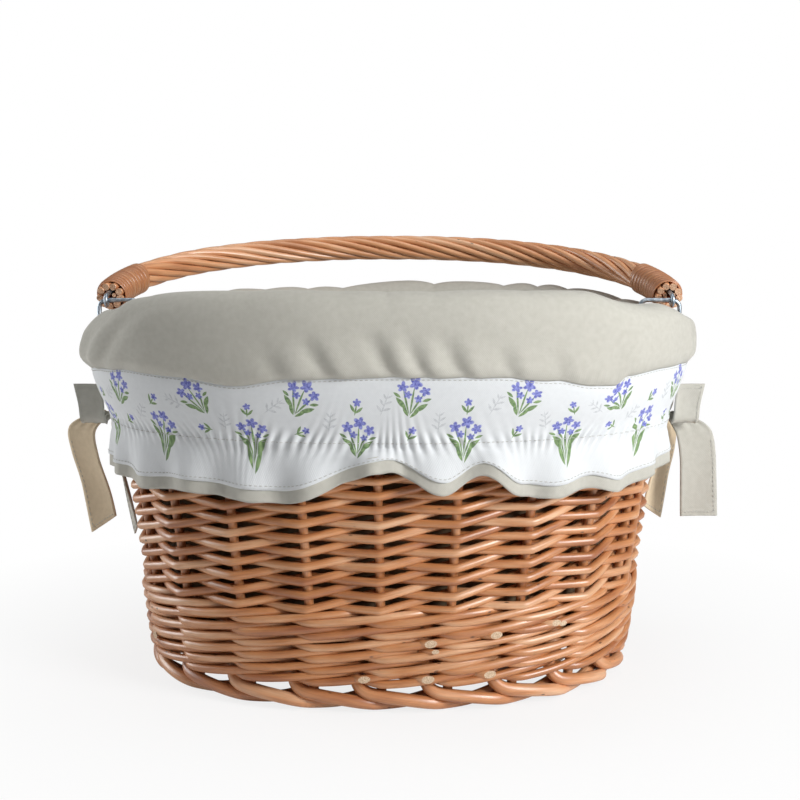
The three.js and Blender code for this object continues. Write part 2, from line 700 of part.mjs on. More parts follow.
// Bindings: a flat skein wound round the strands at each end
function bindingRings(fromRight) {
  const radius = strandOuter + GAP + SKEIN_THICKNESS / 2;
  const start = CUT_BACK + SKEIN_WIDTH / 2 + ROW_GAP;
  return Array.from({ length: SKEIN_TURNS * SKEIN_STEPS + 1 }, (_, i) => {
    const length = start + SKEIN_PITCH * i / SKEIN_STEPS;
    const frame = archFrame(fromRight ? arch.total - length : length);
    const turn = 2 * Math.PI * i / SKEIN_STEPS;
    const corner = (side, depth) =>
      archPoint(frame, radius + depth * SKEIN_THICKNESS / 2, turn)
        .addScaledVector(frame.along, side * SKEIN_WIDTH / 2);
    return [corner(-1, -1), corner(1, -1), corner(1, 1), corner(-1, 1)];
  });
}

['left', 'right'].forEach((name, fromRight) => {
  const rings = bindingRings(fromRight);
  console.log(`binding_${name} least gap to itself, mm:`, leastGap(rings, SKEIN_STEPS).toFixed(2));
  addPiece(handle, `binding_${name}`, ringGeometry(rings), skein);
});

// Core wire: laid in with the strands, its ends bent into open eyes round the staples' bars
function coreGeometry() {
  const eyeRadius = (STAPLE_WIRE + CORE_WIRE) / 2 + EYE_CLEARANCE;
  const coreRing = strandRing - STRAND_DIAMETER / 2 - GAP - CORE_WIRE / 2;
  const eye = (x, from, to) => Array.from({ length: 10 }, (_, i) => {
    const turn = from + (to - from) * i / 9;
    return new THREE.Vector3(x, eyeRadius * Math.cos(turn), eyeRadius * Math.sin(turn));
  });
  const stem = (x, side) => new THREE.Vector3(x, CUT_BACK / 2, side * (eyeRadius + coreRing) / 2);
  return wireGeometry([
    ...eye(-pivotX, 2 * Math.PI, Math.PI / 2),
    stem(-pivotX, 1),
    ...ropeStations.map(({ frame, turn }) => archPoint(frame, coreRing, turn)),
    stem(pivotX, 1),
    ...eye(pivotX, Math.PI / 2, 2 * Math.PI),
  ], CORE_WIRE, 6);
}

addPiece(handle, 'handle_core_wire', coreGeometry(), galvanisedWire);

handle.rotation.x = HANDLE_TILT;
handle.position.z = pivotZ;
basket.add(handle);

export default basket;
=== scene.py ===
# Oval willow bicycle basket: woven rods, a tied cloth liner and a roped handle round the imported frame
import math

import bmesh
import bpy
import numpy as np
from mathutils import Matrix, Vector, noise


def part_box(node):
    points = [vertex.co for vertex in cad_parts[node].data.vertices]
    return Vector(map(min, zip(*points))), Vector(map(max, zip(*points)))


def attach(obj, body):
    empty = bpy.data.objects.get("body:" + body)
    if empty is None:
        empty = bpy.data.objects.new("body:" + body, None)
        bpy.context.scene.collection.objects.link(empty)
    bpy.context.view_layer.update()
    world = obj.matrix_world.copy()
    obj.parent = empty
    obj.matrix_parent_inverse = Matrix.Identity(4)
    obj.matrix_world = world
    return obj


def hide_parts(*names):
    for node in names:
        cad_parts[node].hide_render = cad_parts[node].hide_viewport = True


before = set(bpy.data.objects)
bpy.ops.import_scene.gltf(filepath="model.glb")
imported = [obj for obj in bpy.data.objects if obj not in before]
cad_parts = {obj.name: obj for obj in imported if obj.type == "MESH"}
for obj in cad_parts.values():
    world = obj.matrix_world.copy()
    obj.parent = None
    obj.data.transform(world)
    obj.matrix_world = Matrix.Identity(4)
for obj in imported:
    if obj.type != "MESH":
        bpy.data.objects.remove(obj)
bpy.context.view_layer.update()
mm = 0.001
rng = np.random.default_rng(11)
print("frame loaded:", len(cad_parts), "nodes")


# plan of the wall in mm, on the stakes' axes, front centre at length 0
wall = dict(floorHalf=149, rimHalf=177, depthStep=36, power=2.25, stakes=21, firstStake=-5)


def zRange(node):
    low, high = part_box(node)
    return low.z / mm, high.z / mm


rimLow, rimHigh = zRange("rim_border")
footHigh = zRange("foot_border")[1]
waleLow, waleHigh = zRange("wale_weaver")
sidingLow, sidingHigh = zRange("siding_weaver")
baseLow, baseHigh = zRange("base_weave")
linerHigh = zRange("liner_bag")[1]


def ovalPoint(angle, halfWidth, halfDepth, power):
    across = np.abs(np.cos(angle)) / halfWidth
    along = np.abs(np.sin(angle)) / halfDepth
    radius = (across ** power + along ** power) ** (-1 / power)
    return np.stack([np.cos(angle) * radius, np.sin(angle) * radius], -1)


def ovalNormal(point, halfWidth, halfDepth, power):
    x, y = point[..., 0], point[..., 1]
    slope = np.stack([np.sign(x) * np.abs(x / halfWidth) ** (power - 1) / halfWidth,
                      np.sign(y) * np.abs(y / halfDepth) ** (power - 1) / halfDepth], -1)
    return slope / np.linalg.norm(slope, axis=-1, keepdims=True)


# length reached at each point of a line
def runningLength(points):
    steps = np.linalg.norm(np.diff(points, axis=0), axis=1)
    return np.concatenate([[0], np.cumsum(steps)])


middleHalf = (wall["floorHalf"] + wall["rimHalf"]) / 2
wallAngles = np.linspace(-math.pi / 2, 3 * math.pi / 2, 4001)
middleOval = ovalPoint(wallAngles, middleHalf, middleHalf - wall["depthStep"], wall["power"])
wallLengths = runningLength(middleOval)
girth = wallLengths[-1]
quarter = girth / 4
spacing = girth / wall["stakes"]


def stakeAt(index):
    return wall["firstStake"] + np.asarray(index) * spacing


# half width of the wall at a height
def wallHalf(z):
    return wall["floorHalf"] + (wall["rimHalf"] - wall["floorHalf"]) * z / rimLow


# points in metres on the wall, from lengths, heights and outward distances in mm
def onWall(length, z, out):
    length, z, out = np.broadcast_arrays(*(np.asarray(v, float) for v in (length, z, out)))
    halfWidth = wallHalf(z)
    halfDepth = halfWidth - wall["depthStep"]
    angle = np.interp(np.mod(length, girth), wallLengths, wallAngles)
    point = ovalPoint(angle, halfWidth, halfDepth, wall["power"])
    point = point + ovalNormal(point, halfWidth, halfDepth, wall["power"]) * out[..., None]
    return np.concatenate([point, z[..., None]], -1) * mm


# from here to there, smooth with the keys before and after them
def easeBetween(before, here, there, after, t):
    return 0.5 * (2 * here + (there - before) * t + (2 * before - 5 * here + 4 * there - after) * t ** 2
                  + (3 * here - before - 3 * there + after) * t ** 3)


# smooth curve through keys at shares from 0 to 1; every share may have keys of its own
def throughKeys(keys, shares):
    keys = np.asarray(keys, float)
    shares = np.asarray(shares, float)
    if keys.ndim == 2:
        keys = np.repeat(keys[:, None], len(shares), axis=1)
    last = len(keys) - 1
    place = np.clip(shares, 0, 1) * last
    start = np.minimum(place.astype(int), last - 1)
    column = np.arange(len(shares))
    around = [keys[np.clip(start + k, 0, last), column] for k in (-1, 0, 1, 2)]
    return easeBetween(*around, (place - start)[:, None])


# smooth repeating curve, one key for each whole place
def throughPeriod(keys, place):
    keys = np.array(keys)
    start = np.floor(place).astype(int)
    around = [keys[(start + k) % len(keys)] for k in (-1, 0, 1, 2)]
    return easeBetween(*around, place - start)


# shares that run evenly along the keys' length
def evenly(keys, shares):
    keys = np.asarray(keys, float)
    middle = keys[:, keys.shape[1] // 2] if keys.ndim == 3 else keys
    reached = runningLength(middle)
    return np.interp(shares, reached / reached[-1], np.linspace(0, 1, len(keys)))


def smooth(value, low, high):
    t = np.clip((np.asarray(value, float) - low) / (high - low), 0, 1)
    return t * t * (3 - 2 * t)


# smooth curve through pairs of place and value
def eased(pairs, place):
    places, values = np.array(pairs, float).T
    k = np.clip(np.searchsorted(places, place) - 1, 0, len(places) - 2)
    t = smooth((place - places[k]) / (places[k + 1] - places[k]), 0, 1)
    return values[k] + (values[k + 1] - values[k]) * t


def addObject(name, data):
    obj = bpy.data.objects.new(name, data)
    bpy.context.scene.collection.objects.link(obj)
    return obj


def addMesh(name, bm):
    mesh = bpy.data.meshes.new(name)
    bm.to_mesh(mesh)
    bm.free()
    return addObject(name, mesh)


def dress(obj, body, slotName, nodes, *materials):
    for material in materials:
        obj.data.materials.append(material)
    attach(obj, body)
    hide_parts(*nodes)
    return obj


# metres of grain that the rods' starts are spread over, so that no two rods look alike
grainSpread = 20


# round rods along lists of points, joined in one mesh; each keeps its own tone and its own straight space
def makeRods(name, rods, sides, closed=False):
    curve = bpy.data.curves.new(name, "CURVE")
    curve.dimensions = "3D"
    curve.bevel_depth = 1
    curve.bevel_resolution = sides // 2 - 2
    for points, radii in rods:
        spline = curve.splines.new("POLY")
        spline.points.add(len(points) - 1)
        spline.points.foreach_set("co", np.c_[points, np.ones(len(points))].ravel())
        spline.points.foreach_set("radius", np.broadcast_to(radii, len(points)).astype(float))
        spline.use_cyclic_u = closed
    holder = bpy.data.objects.new(name + "Curve", curve)
    mesh = bpy.data.meshes.new_from_object(holder)
    bpy.data.objects.remove(holder)
    turn = 2 * np.pi * np.arange(sides) / sides
    tones, spaces = [], []
    for points, radii in rods:
        along = runningLength(points) + rng.uniform(0, grainSpread)
        radius = np.broadcast_to(radii, len(points))[:, None]
        section = np.broadcast_arrays(along[:, None], radius * np.cos(turn), radius * np.sin(turn))
        spaces.append(np.stack(section, -1).reshape(-1, 3))
        tones.append(np.full(len(points) * sides, rng.random()))
    mesh.attributes.new("tone", "FLOAT", "POINT").data.foreach_set("value", np.concatenate(tones))
    rodSpace = mesh.attributes.new("rodSpace", "FLOAT_VECTOR", "POINT")
    rodSpace.data.foreach_set("vector", np.concatenate(spaces).ravel())
    bm = bmesh.new()
    bm.from_mesh(mesh)
    for face in bm.faces:
        face.smooth = True
    openEdges = [edge for edge in bm.edges if edge.is_boundary]
    for face in bmesh.ops.holes_fill(bm, edges=openEdges, sides=sides)["faces"]:
        face.material_index = 1
        face.smooth = False
    bmesh.ops.recalc_face_normals(bm, faces=bm.faces)
    bm.to_mesh(mesh)
    bm.free()
    mesh.name = name
    return addObject(name, mesh)


# a grid of cloth shaped by place(u, v), its UV map in metres of flat cloth
def makeCloth(name, columns, rows, size, place, joined=False):
    bm = bmesh.new()
    bmesh.ops.create_grid(bm, x_segments=columns, y_segments=rows, size=0.5)
    uvLayer = bm.loops.layers.uv.new("UVMap")
    for face in bm.faces:
        face.smooth = True
        for loop in face.loops:
            loop[uvLayer].uv = ((loop.vert.co.x + 0.5) * size[0], (0.5 - loop.vert.co.y) * size[1])
    flat = np.array([vert.co for vert in bm.verts])
    placed = place(flat[:, 0] + 0.5, 0.5 - flat[:, 1])
    for vert, point in zip(bm.verts, placed):
        vert.co = point
    if joined:
        bmesh.ops.remove_doubles(bm, verts=bm.verts, dist=0.02 * mm)
    bmesh.ops.recalc_face_normals(bm, faces=bm.faces)
    return addMesh(name, bm)


def thicken(obj, thickness):
    solid = obj.modifiers.new("clothThickness", "SOLIDIFY")
    solid.thickness = thickness * mm
    solid.offset = 0
    return solid


def lumps(points, size, seed):
    shift = Vector((seed, 3.7 * seed, -seed))
    return np.array([noise.noise(Vector(p) / (size * mm) + shift) for p in points])


# colours are sRGB hex values
def paint(code):
    parts = [int(code[i:i + 2], 16) / 255 for i in (1, 3, 5)]
    return tuple(c / 12.92 if c <= 0.04045 else ((c + 0.055) / 1.055) ** 2.4 for c in parts) + (1,)


# an input is a number, a colour, a socket, or a node that gives its first output
def feed(tree, node, inputs):
    for socket, value in inputs.items():
        if isinstance(value, bpy.types.Node):
            value = value.outputs[0]
        if isinstance(value, bpy.types.NodeSocket):
            tree.links.new(value, node.inputs[socket])
        else:
            node.inputs[socket].default_value = value


def addNode(tree, kind, inputs=None, **settings):
    node = tree.nodes.new(kind)
    for key, value in settings.items():
        setattr(node, key, value)
    feed(tree, node, inputs or {})
    return node


def startMaterial(name):
    material = bpy.data.materials.new(name)
    material.use_nodes = True
    tree = material.node_tree
    return material, tree, tree.nodes["Principled BSDF"]


# camera and studio; lamps are name, place, size and power
# mirrored is the share of the white background that reflections see

studio = dict(
    cameraPlace=(7, -900, 284.5), cameraPitch=7.0, focalPixels=1358, imagePixels=800, sensorWidth=36,
    lamps=[("keyLamp", (1130, -940, 760), 600, 23), ("fillLamp", (-1440, 450, 500), 800, 11.5),
           ("topLamp", (100, -100, 1500), 1000, 5.5)],
    lampAim=(0, 0, 140), ambient=0.13, mirrored=0.15,
    floorShadow=0.18, shadowFrom=170, shadowTo=420, floorSize=12000)


def addLamp(name, place, size, power):
    lamp = bpy.data.lights.new(name, "AREA")
    lamp.size = size * mm
    lamp.energy = power
    obj = addObject(name, lamp)
    obj.location = Vector(place) * mm
    obj.rotation_euler = (Vector(studio["lampAim"]) * mm - obj.location).to_track_quat("-Z", "Y").to_euler()


def seenDirectly(tree):
    path = addNode(tree, "ShaderNodeLightPath").outputs
    mirrored = addNode(tree, "ShaderNodeMath", {0: path["Is Glossy Ray"], 1: studio["mirrored"]},
                       operation="MULTIPLY")
    seen = addNode(tree, "ShaderNodeMath", {0: path["Is Camera Ray"], 1: mirrored}, operation="MAXIMUM")
    return addNode(tree, "ShaderNodeMath", {0: seen, 1: path["Is Transmission Ray"]}, operation="MAXIMUM")


def makeStudio():
    scene = bpy.context.scene
    scene.view_settings.view_transform = "Standard"
    camera = bpy.data.cameras.new("camera")
    camera.sensor_width = studio["sensorWidth"]
    camera.lens = studio["sensorWidth"] * studio["focalPixels"] / studio["imagePixels"]
    scene.camera = addObject("camera", camera)
    scene.camera.location = Vector(studio["cameraPlace"]) * mm
    scene.camera.rotation_euler = (math.radians(90 - studio["cameraPitch"]), 0, 0)
    for lamp in studio["lamps"]:
        addLamp(*lamp)

    scene.world = bpy.data.worlds.new("studioWorld")
    scene.world.use_nodes = True
    tree = scene.world.node_tree
    strength = addNode(tree, "ShaderNodeMapRange", {
        "Value": seenDirectly(tree), "To Min": studio["ambient"], "To Max": 1})
    feed(tree, tree.nodes["Background"], {"Color": (1, 1, 1, 1), "Strength": strength})

    # white paper floor: seen as white, with a share of its own shading so that the shadow stays
    bm = bmesh.new()
    bmesh.ops.create_grid(bm, x_segments=2, y_segments=2, size=studio["floorSize"] * mm / 2)
    floor = addMesh("floor", bm)
    paper, tree, shader = startMaterial("whitePaper")
    feed(tree, shader, {"Base Color": paint("#ECECEC"), "Roughness": 0.9})
    glow = addNode(tree, "ShaderNodeEmission", {"Color": (1, 1, 1, 1), "Strength": 1})
    place = addNode(tree, "ShaderNodeTexCoord").outputs["Object"]
    reach = addNode(tree, "ShaderNodeVectorMath", {0: place}, operation="LENGTH").outputs["Value"]
    white = addNode(tree, "ShaderNodeMapRange", {
        "Value": reach, "From Min": studio["shadowFrom"] * mm, "From Max": studio["shadowTo"] * mm,
        "To Min": 1 - studio["floorShadow"], "To Max": 1})
    share = addNode(tree, "ShaderNodeMath", {0: seenDirectly(tree), 1: white}, operation="MULTIPLY")
    mixed = addNode(tree, "ShaderNodeMixShader", {0: share, 1: shader, 2: glow})
    feed(tree, tree.nodes["Material Output"], {"Surface": mixed})
    floor.data.materials.append(paper)
    print("studio ready")


makeStudio()


# materials

# willow skin, repeats a metre along and across the rod: grain 22 x 0.6 mm, clouds 33 x 6 mm and
# cells 11 x 5 mm that may hold a bud scar; a scar is given in cells, about 2 mm long
willowSkin = dict(grain=(45, 1700, 1700), clouds=(30, 170, 170), buds=(90, 190, 190),
                  scarCore=0.07, scarEdge=0.16, scarStrength=0.85, scarShare=0.5, scarColour="#3A2214")


# buff willow: boiled and peeled, so a smooth satin skin with fine grain along the rod and small dark buds
def buffWillow(name, dark, middle, light, roughness=0.37):
    material, tree, shader = startMaterial(name)
    space = addNode(tree, "ShaderNodeAttribute", attribute_name="rodSpace").outputs["Vector"]
    tone = addNode(tree, "ShaderNodeAttribute", attribute_name="tone").outputs["Fac"]
    grainSpace, cloudSpace, budSpace = (
        addNode(tree, "ShaderNodeMapping", {"Vector": space, "Scale": willowSkin[pattern]})
        for pattern in ("grain", "clouds", "buds"))
    grain = addNode(tree, "ShaderNodeTexNoise", {"Vector": grainSpace, "Scale": 1, "Detail": 3})
    clouds = addNode(tree, "ShaderNodeTexNoise", {"Vector": cloudSpace, "Scale": 1, "Detail": 2})
    shade = addNode(tree, "ShaderNodeMath", {0: clouds, 1: -0.175}, operation="ADD")
    shade = addNode(tree, "ShaderNodeMath", {0: tone, 1: 0.36, 2: shade}, operation="MULTIPLY_ADD")
    ramp = addNode(tree, "ShaderNodeValToRGB", {"Fac": shade})
    ramp.color_ramp.elements.new(0.5)
    for stop, position, colour in zip(ramp.color_ramp.elements, (0.15, 0.5, 0.9), (dark, middle, light)):
        stop.position = position
        stop.color = paint(colour)
    streaks = addNode(tree, "ShaderNodeMapRange", {
        "Value": grain, "From Min": 0.3, "From Max": 0.7, "To Min": 0.84, "To Max": 1.1})
    grained = addNode(tree, "ShaderNodeVectorMath", {0: ramp, "Scale": streaks}, operation="SCALE")
    buds = addNode(tree, "ShaderNodeTexVoronoi", {"Vector": budSpace, "Scale": 1}).outputs
    chosen = addNode(tree, "ShaderNodeMath", {0: buds["Color"], 1: willowSkin["scarShare"]},
                     operation="LESS_THAN")
    near = addNode(tree, "ShaderNodeMapRange", {
        "Value": buds["Distance"], "From Min": willowSkin["scarCore"], "From Max": willowSkin["scarEdge"],
        "To Min": willowSkin["scarStrength"], "To Max": 0})
    scars = addNode(tree, "ShaderNodeMath", {0: near, 1: chosen}, operation="MULTIPLY")
    colour = addNode(tree, "ShaderNodeMix", {0: scars, 6: grained, 7: paint(willowSkin["scarColour"])},
                     data_type="RGBA").outputs[2]
    rough = addNode(tree, "ShaderNodeMath", {0: grain, 1: 0.2, 2: roughness - 0.1}, operation="MULTIPLY_ADD")
    bump = addNode(tree, "ShaderNodeBump", {"Height": grain, "Strength": 0.35, "Distance": 0.25 * mm})
    feed(tree, shader, {"Base Color": colour, "Specular IOR Level": 1, "Roughness": rough, "Normal": bump})
    return material


# cut willow: a sawn end, pale and dry, with rough fibres 0.6 mm wide
def cutWillow(name, dark, light):
    material, tree, shader = startMaterial(name)
    place = addNode(tree, "ShaderNodeTexCoord").outputs["Object"]
    fibres = addNode(tree, "ShaderNodeTexNoise", {"Vector": place, "Scale": 1700, "Detail": 2})
    ramp = addNode(tree, "ShaderNodeValToRGB", {"Fac": fibres})
    for stop, position, colour in zip(ramp.color_ramp.elements, (0.3, 0.62), (dark, light)):
        stop.position = position
        stop.color = paint(colour)
    bump = addNode(tree, "ShaderNodeBump", {"Height": fibres, "Strength": 0.6, "Distance": 0.3 * mm})
    feed(tree, shader, {"Base Color": ramp, "Roughness": 0.85, "Normal": bump})
    return material


# thread spacing of the cloths in mm; real threads are 0.4 mm apart, drawn 1.2 mm so that they show
clothThread = 1.2


# plain woven cotton: matt and a little downy, with crossing threads and slubs 4 mm long
# returns the heights of both
def matteCloth(tree, shader, sheen):
    place = addNode(tree, "ShaderNodeUVMap", uv_map="UVMap")
    perMetre = 2 * math.pi / (clothThread * mm)
    turned = addNode(tree, "ShaderNodeVectorMath", {0: place, "Scale": perMetre}, operation="SCALE")
    split = addNode(tree, "ShaderNodeSeparateXYZ", {0: turned}).outputs
    warp = addNode(tree, "ShaderNodeMath", {0: split["X"]}, operation="SINE")
    weft = addNode(tree, "ShaderNodeMath", {0: split["Y"]}, operation="SINE")
    threads = addNode(tree, "ShaderNodeMath", {0: warp, 1: weft}, operation="MULTIPLY")
    slubs = addNode(tree, "ShaderNodeTexNoise", {"Vector": place, "Scale": 260, "Detail": 3})
    height = addNode(tree, "ShaderNodeMath", {0: slubs, 1: 2, 2: threads}, operation="MULTIPLY_ADD")
    bump = addNode(tree, "ShaderNodeBump", {"Height": height, "Strength": 0.3, "Distance": 0.12 * mm})
    feed(tree, shader, {"Roughness": 0.92, "Specular IOR Level": 0.25, "Sheen Weight": sheen,
                        "Sheen Roughness": 0.6, "Normal": bump})
    return threads, slubs


# beige cotton canvas of the cuffs, bag, hems and ties
def beigeCanvas(name, darker, lighter):
    material, tree, shader = startMaterial(name)
    threads, slubs = matteCloth(tree, shader, 0.12)
    shade = addNode(tree, "ShaderNodeMath", {0: threads, 1: 0.12, 2: slubs}, operation="MULTIPLY_ADD")
    ramp = addNode(tree, "ShaderNodeValToRGB", {"Fac": shade})
    for stop, position, colour in zip(ramp.color_ramp.elements, (0.2, 0.8), (darker, lighter)):
        stop.position = position
        stop.color = paint(colour)
    feed(tree, shader, {"Base Color": ramp})
    return material


# galvanised wire: zinc skin, bluish grey with a cloudy spangle 2 mm wide
def galvanisedWire():
    material, tree, shader = startMaterial("galvanisedWire")
    place = addNode(tree, "ShaderNodeTexCoord").outputs["Object"]
    spangle = addNode(tree, "ShaderNodeTexNoise", {"Vector": place, "Scale": 450, "Detail": 2})
    ramp = addNode(tree, "ShaderNodeValToRGB", {"Fac": spangle})
    for stop, position, colour in zip(ramp.color_ramp.elements, (0.3, 0.7), ("#8996A3", "#C3CDD6")):
        stop.position = position
        stop.color = paint(colour)
    rough = addNode(tree, "ShaderNodeMapRange", {"Value": spangle, "To Min": 0.3, "To Max": 0.5})
    feed(tree, shader, {"Base Color": ramp, "Roughness": rough, "Metallic": 1})
    return material


# elastic tape: knitted rib, off-white, its ribs 1.2 mm apart along the tape
def ribbedElastic():
    material, tree, shader = startMaterial("ribbedElastic")
    place = addNode(tree, "ShaderNodeUVMap", uv_map="UVMap")
    split = addNode(tree, "ShaderNodeSeparateXYZ", {0: place})
    perMetre = 2 * math.pi / (1.2 * mm)
    turned = addNode(tree, "ShaderNodeMath", {0: split, 1: perMetre}, operation="MULTIPLY")
    ribs = addNode(tree, "ShaderNodeMath", {0: turned}, operation="SINE")
    # the tape is darker in the hollows between the ribs and paler on their tops: painted shade
    shade = addNode(tree, "ShaderNodeMapRange", {"Value": ribs, "From Min": -1})
    colour = addNode(tree, "ShaderNodeMix", {0: shade, 6: paint("#C9C6BC"), 7: paint("#E4E2DA")},
                     data_type="RGBA").outputs[2]
    bump = addNode(tree, "ShaderNodeBump", {"Height": ribs, "Strength": 0.5, "Distance": 0.2 * mm})
    feed(tree, shader, {"Base Color": colour, "Roughness": 0.85, "Normal": bump})
    return material


# sewing thread: grey, slightly shiny, with the twist's light and dark 0.4 mm apart
def greyThread():
    material, tree, shader = startMaterial("greyThread")
    space = addNode(tree, "ShaderNodeAttribute", attribute_name="rodSpace").outputs["Vector"]
    twist = addNode(tree, "ShaderNodeTexNoise", {"Vector": space, "Scale": 2500, "Detail": 1})
    colour = addNode(tree, "ShaderNodeMix", {0: twist, 6: paint("#A2A29D"), 7: paint("#C9C8C3")},
                     data_type="RGBA").outputs[2]
    feed(tree, shader, {"Base Color": colour, "Roughness": 0.6})
    return material


willow = buffWillow("buffWillow", "#9A5932", "#C68552", "#E5B78F")
# paler copy of the willow for the foot and the base: painted light for the foot's bright highlight
footWillowLit = buffWillow("buffWillowFootLit", "#A9673D", "#D49362", "#EEC5A0")
# paler copy of the willow for the handle: painted light that lifts the handle out of the shade it lies in
handleWillowLit = buffWillow("buffWillowHandleLit", "#B27045", "#DE9F6F", "#EFC39D")
skeinWillow = buffWillow("willowSkein", "#94552F", "#B97A4E", "#CF9C72", 0.36)
cutEnd = cutWillow("cutWillow", "#B08F70", "#DFC8AC")
handleCut = cutWillow("cutHandleWillow", "#A27350", "#EBC4A4")
canvas = beigeCanvas("beigeCanvas", "#B4B2A8", "#C0BEB5")
# warmer, paler copy of the canvas for two hanging ends: painted light shining through the cloth
backlitCanvas = beigeCanvas("backlitBeigeCanvas", "#D2BE9F", "#E0CCAE")
# bag's outer face in a darker brown: painted shade, so that the gaps of the weave stay dark
gapShade = beigeCanvas("gapShadeCloth", "#7E6A52", "#8F7A60")
wire = galvanisedWire()
elasticTape = ribbedElastic()
thread = greyThread()
print("materials ready")


# shapes of the print, each a group that gives 1 inside the shape
def startShape(name):
    group = bpy.data.node_groups.new(name, "ShaderNodeTree")
    for socket, kind in (("Place", "Vector"), ("Centre", "Vector"), ("Turn", "Float"), ("Size", "Vector")):
        group.interface.new_socket(socket, in_out="INPUT", socket_type="NodeSocket" + kind)
    group.interface.new_socket("Mask", in_out="OUTPUT", socket_type="NodeSocketFloat")
    given = addNode(group, "NodeGroupInput").outputs
    moved = addNode(group, "ShaderNodeVectorMath", {0: given["Place"], 1: given["Centre"]},
                    operation="SUBTRACT")
    back = addNode(group, "ShaderNodeMath", {0: given["Turn"], 1: -1}, operation="MULTIPLY")
    turned = addNode(group, "ShaderNodeVectorRotate", {"Vector": moved, "Angle": back},
                     rotation_type="Z_AXIS")
    scaled = addNode(group, "ShaderNodeVectorMath", {0: turned, 1: given["Size"]}, operation="DIVIDE")
    return group, scaled


# share is 0 in the middle of the shape and 1 at its edge, which is softened over 0.18 of it
def endShape(group, share):
    inside = addNode(group, "ShaderNodeMath", {0: 1, 1: share}, operation="SUBTRACT")
    mask = addNode(group, "ShaderNodeMapRange", {"Value": inside, "From Max": 0.18})
    addNode(group, "NodeGroupOutput", {"Mask": mask})
    return group


def leafShape():
    group, scaled = startShape("leafShape")
    split = addNode(group, "ShaderNodeSeparateXYZ", {0: scaled}).outputs
    square = addNode(group, "ShaderNodeMath", {0: split["X"], 1: split["X"]}, operation="MULTIPLY")
    side = addNode(group, "ShaderNodeMath", {0: split["Y"]}, operation="ABSOLUTE")
    return endShape(group, addNode(group, "ShaderNodeMath", {0: square, 1: side}, operation="ADD"))


# five petals
def blossomShape():
    group, scaled = startShape("blossomShape")
    split = addNode(group, "ShaderNodeSeparateXYZ", {0: scaled}).outputs
    angle = addNode(group, "ShaderNodeMath", {0: split["Y"], 1: split["X"]}, operation="ARCTAN2")
    fifths = addNode(group, "ShaderNodeMath", {0: angle, 1: 5 / 2}, operation="MULTIPLY")
    swing = addNode(group, "ShaderNodeMath", {0: fifths}, operation="COSINE")
    petal = addNode(group, "ShaderNodeMath", {0: swing}, operation="ABSOLUTE")
    edge = addNode(group, "ShaderNodeMath", {0: petal, 1: 0.5, 2: 0.5}, operation="MULTIPLY_ADD")
    reach = addNode(group, "ShaderNodeVectorMath", {0: scaled}, operation="LENGTH").outputs["Value"]
    return endShape(group, addNode(group, "ShaderNodeMath", {0: reach, 1: edge}, operation="DIVIDE"))


# motifs: shift along, top row, step to the odd columns' row in mm, and swing in radians
# their shapes, in mm from the motif's middle: centre, turn in degrees, half sizes
sprig = dict(
    columnWidth=36, main=(0, 18, 27, 0.5), bud=(0, 41, -19, 1.4), fern=(18, 22, 12, 1.2),
    stems=[((-3.5, -2.5), 112, (9.5, 0.7)), ((0.2, -1), 90, (11, 0.7)), ((3.6, -3), 66, (9, 0.7))],
    leaves=[((-6.5, -4), 140, (5.5, 1.7)), ((6.5, -5), 38, (5.5, 1.7)), ((-3, -8.5), 125, (4.5, 1.3)),
            ((3.2, -9.5), 52, (4.5, 1.3)), ((9.5, 0.5), 25, (3.2, 1.1)), ((-10, 1), 150, (3.2, 1.1))],
    blossoms=[((-7.2, 7.2), 20, (4.3, 4.3)), ((0.6, 10.8), 70, (4.8, 4.8)), ((7.4, 6.2), 45, (4.1, 4.1)),
              ((-3.2, 2.2), 10, (3.1, 3.1)), ((4, 0.4), 30, (2.9, 2.9))],
    budLeaves=[((-2.2, -2.6), 130, (3.4, 1)), ((2.2, -3), 50, (3.4, 1)), ((0, -3), 90, (4.5, 0.6))],
    budBlossoms=[((0, 1.6), 30, (3, 3))],
    ferns=[((0, 0), 90, (9, 0.5)), ((-2.4, -3.4), 145, (3.2, 0.9)), ((2.4, -2.2), 35, (3.2, 0.9)),
           ((-2.2, 1), 140, (2.8, 0.8)), ((2.2, 2.2), 40, (2.8, 0.8)), ((-1.6, 5.2), 130, (2.2, 0.7)),
           ((1.6, 6), 50, (2.2, 0.7))])


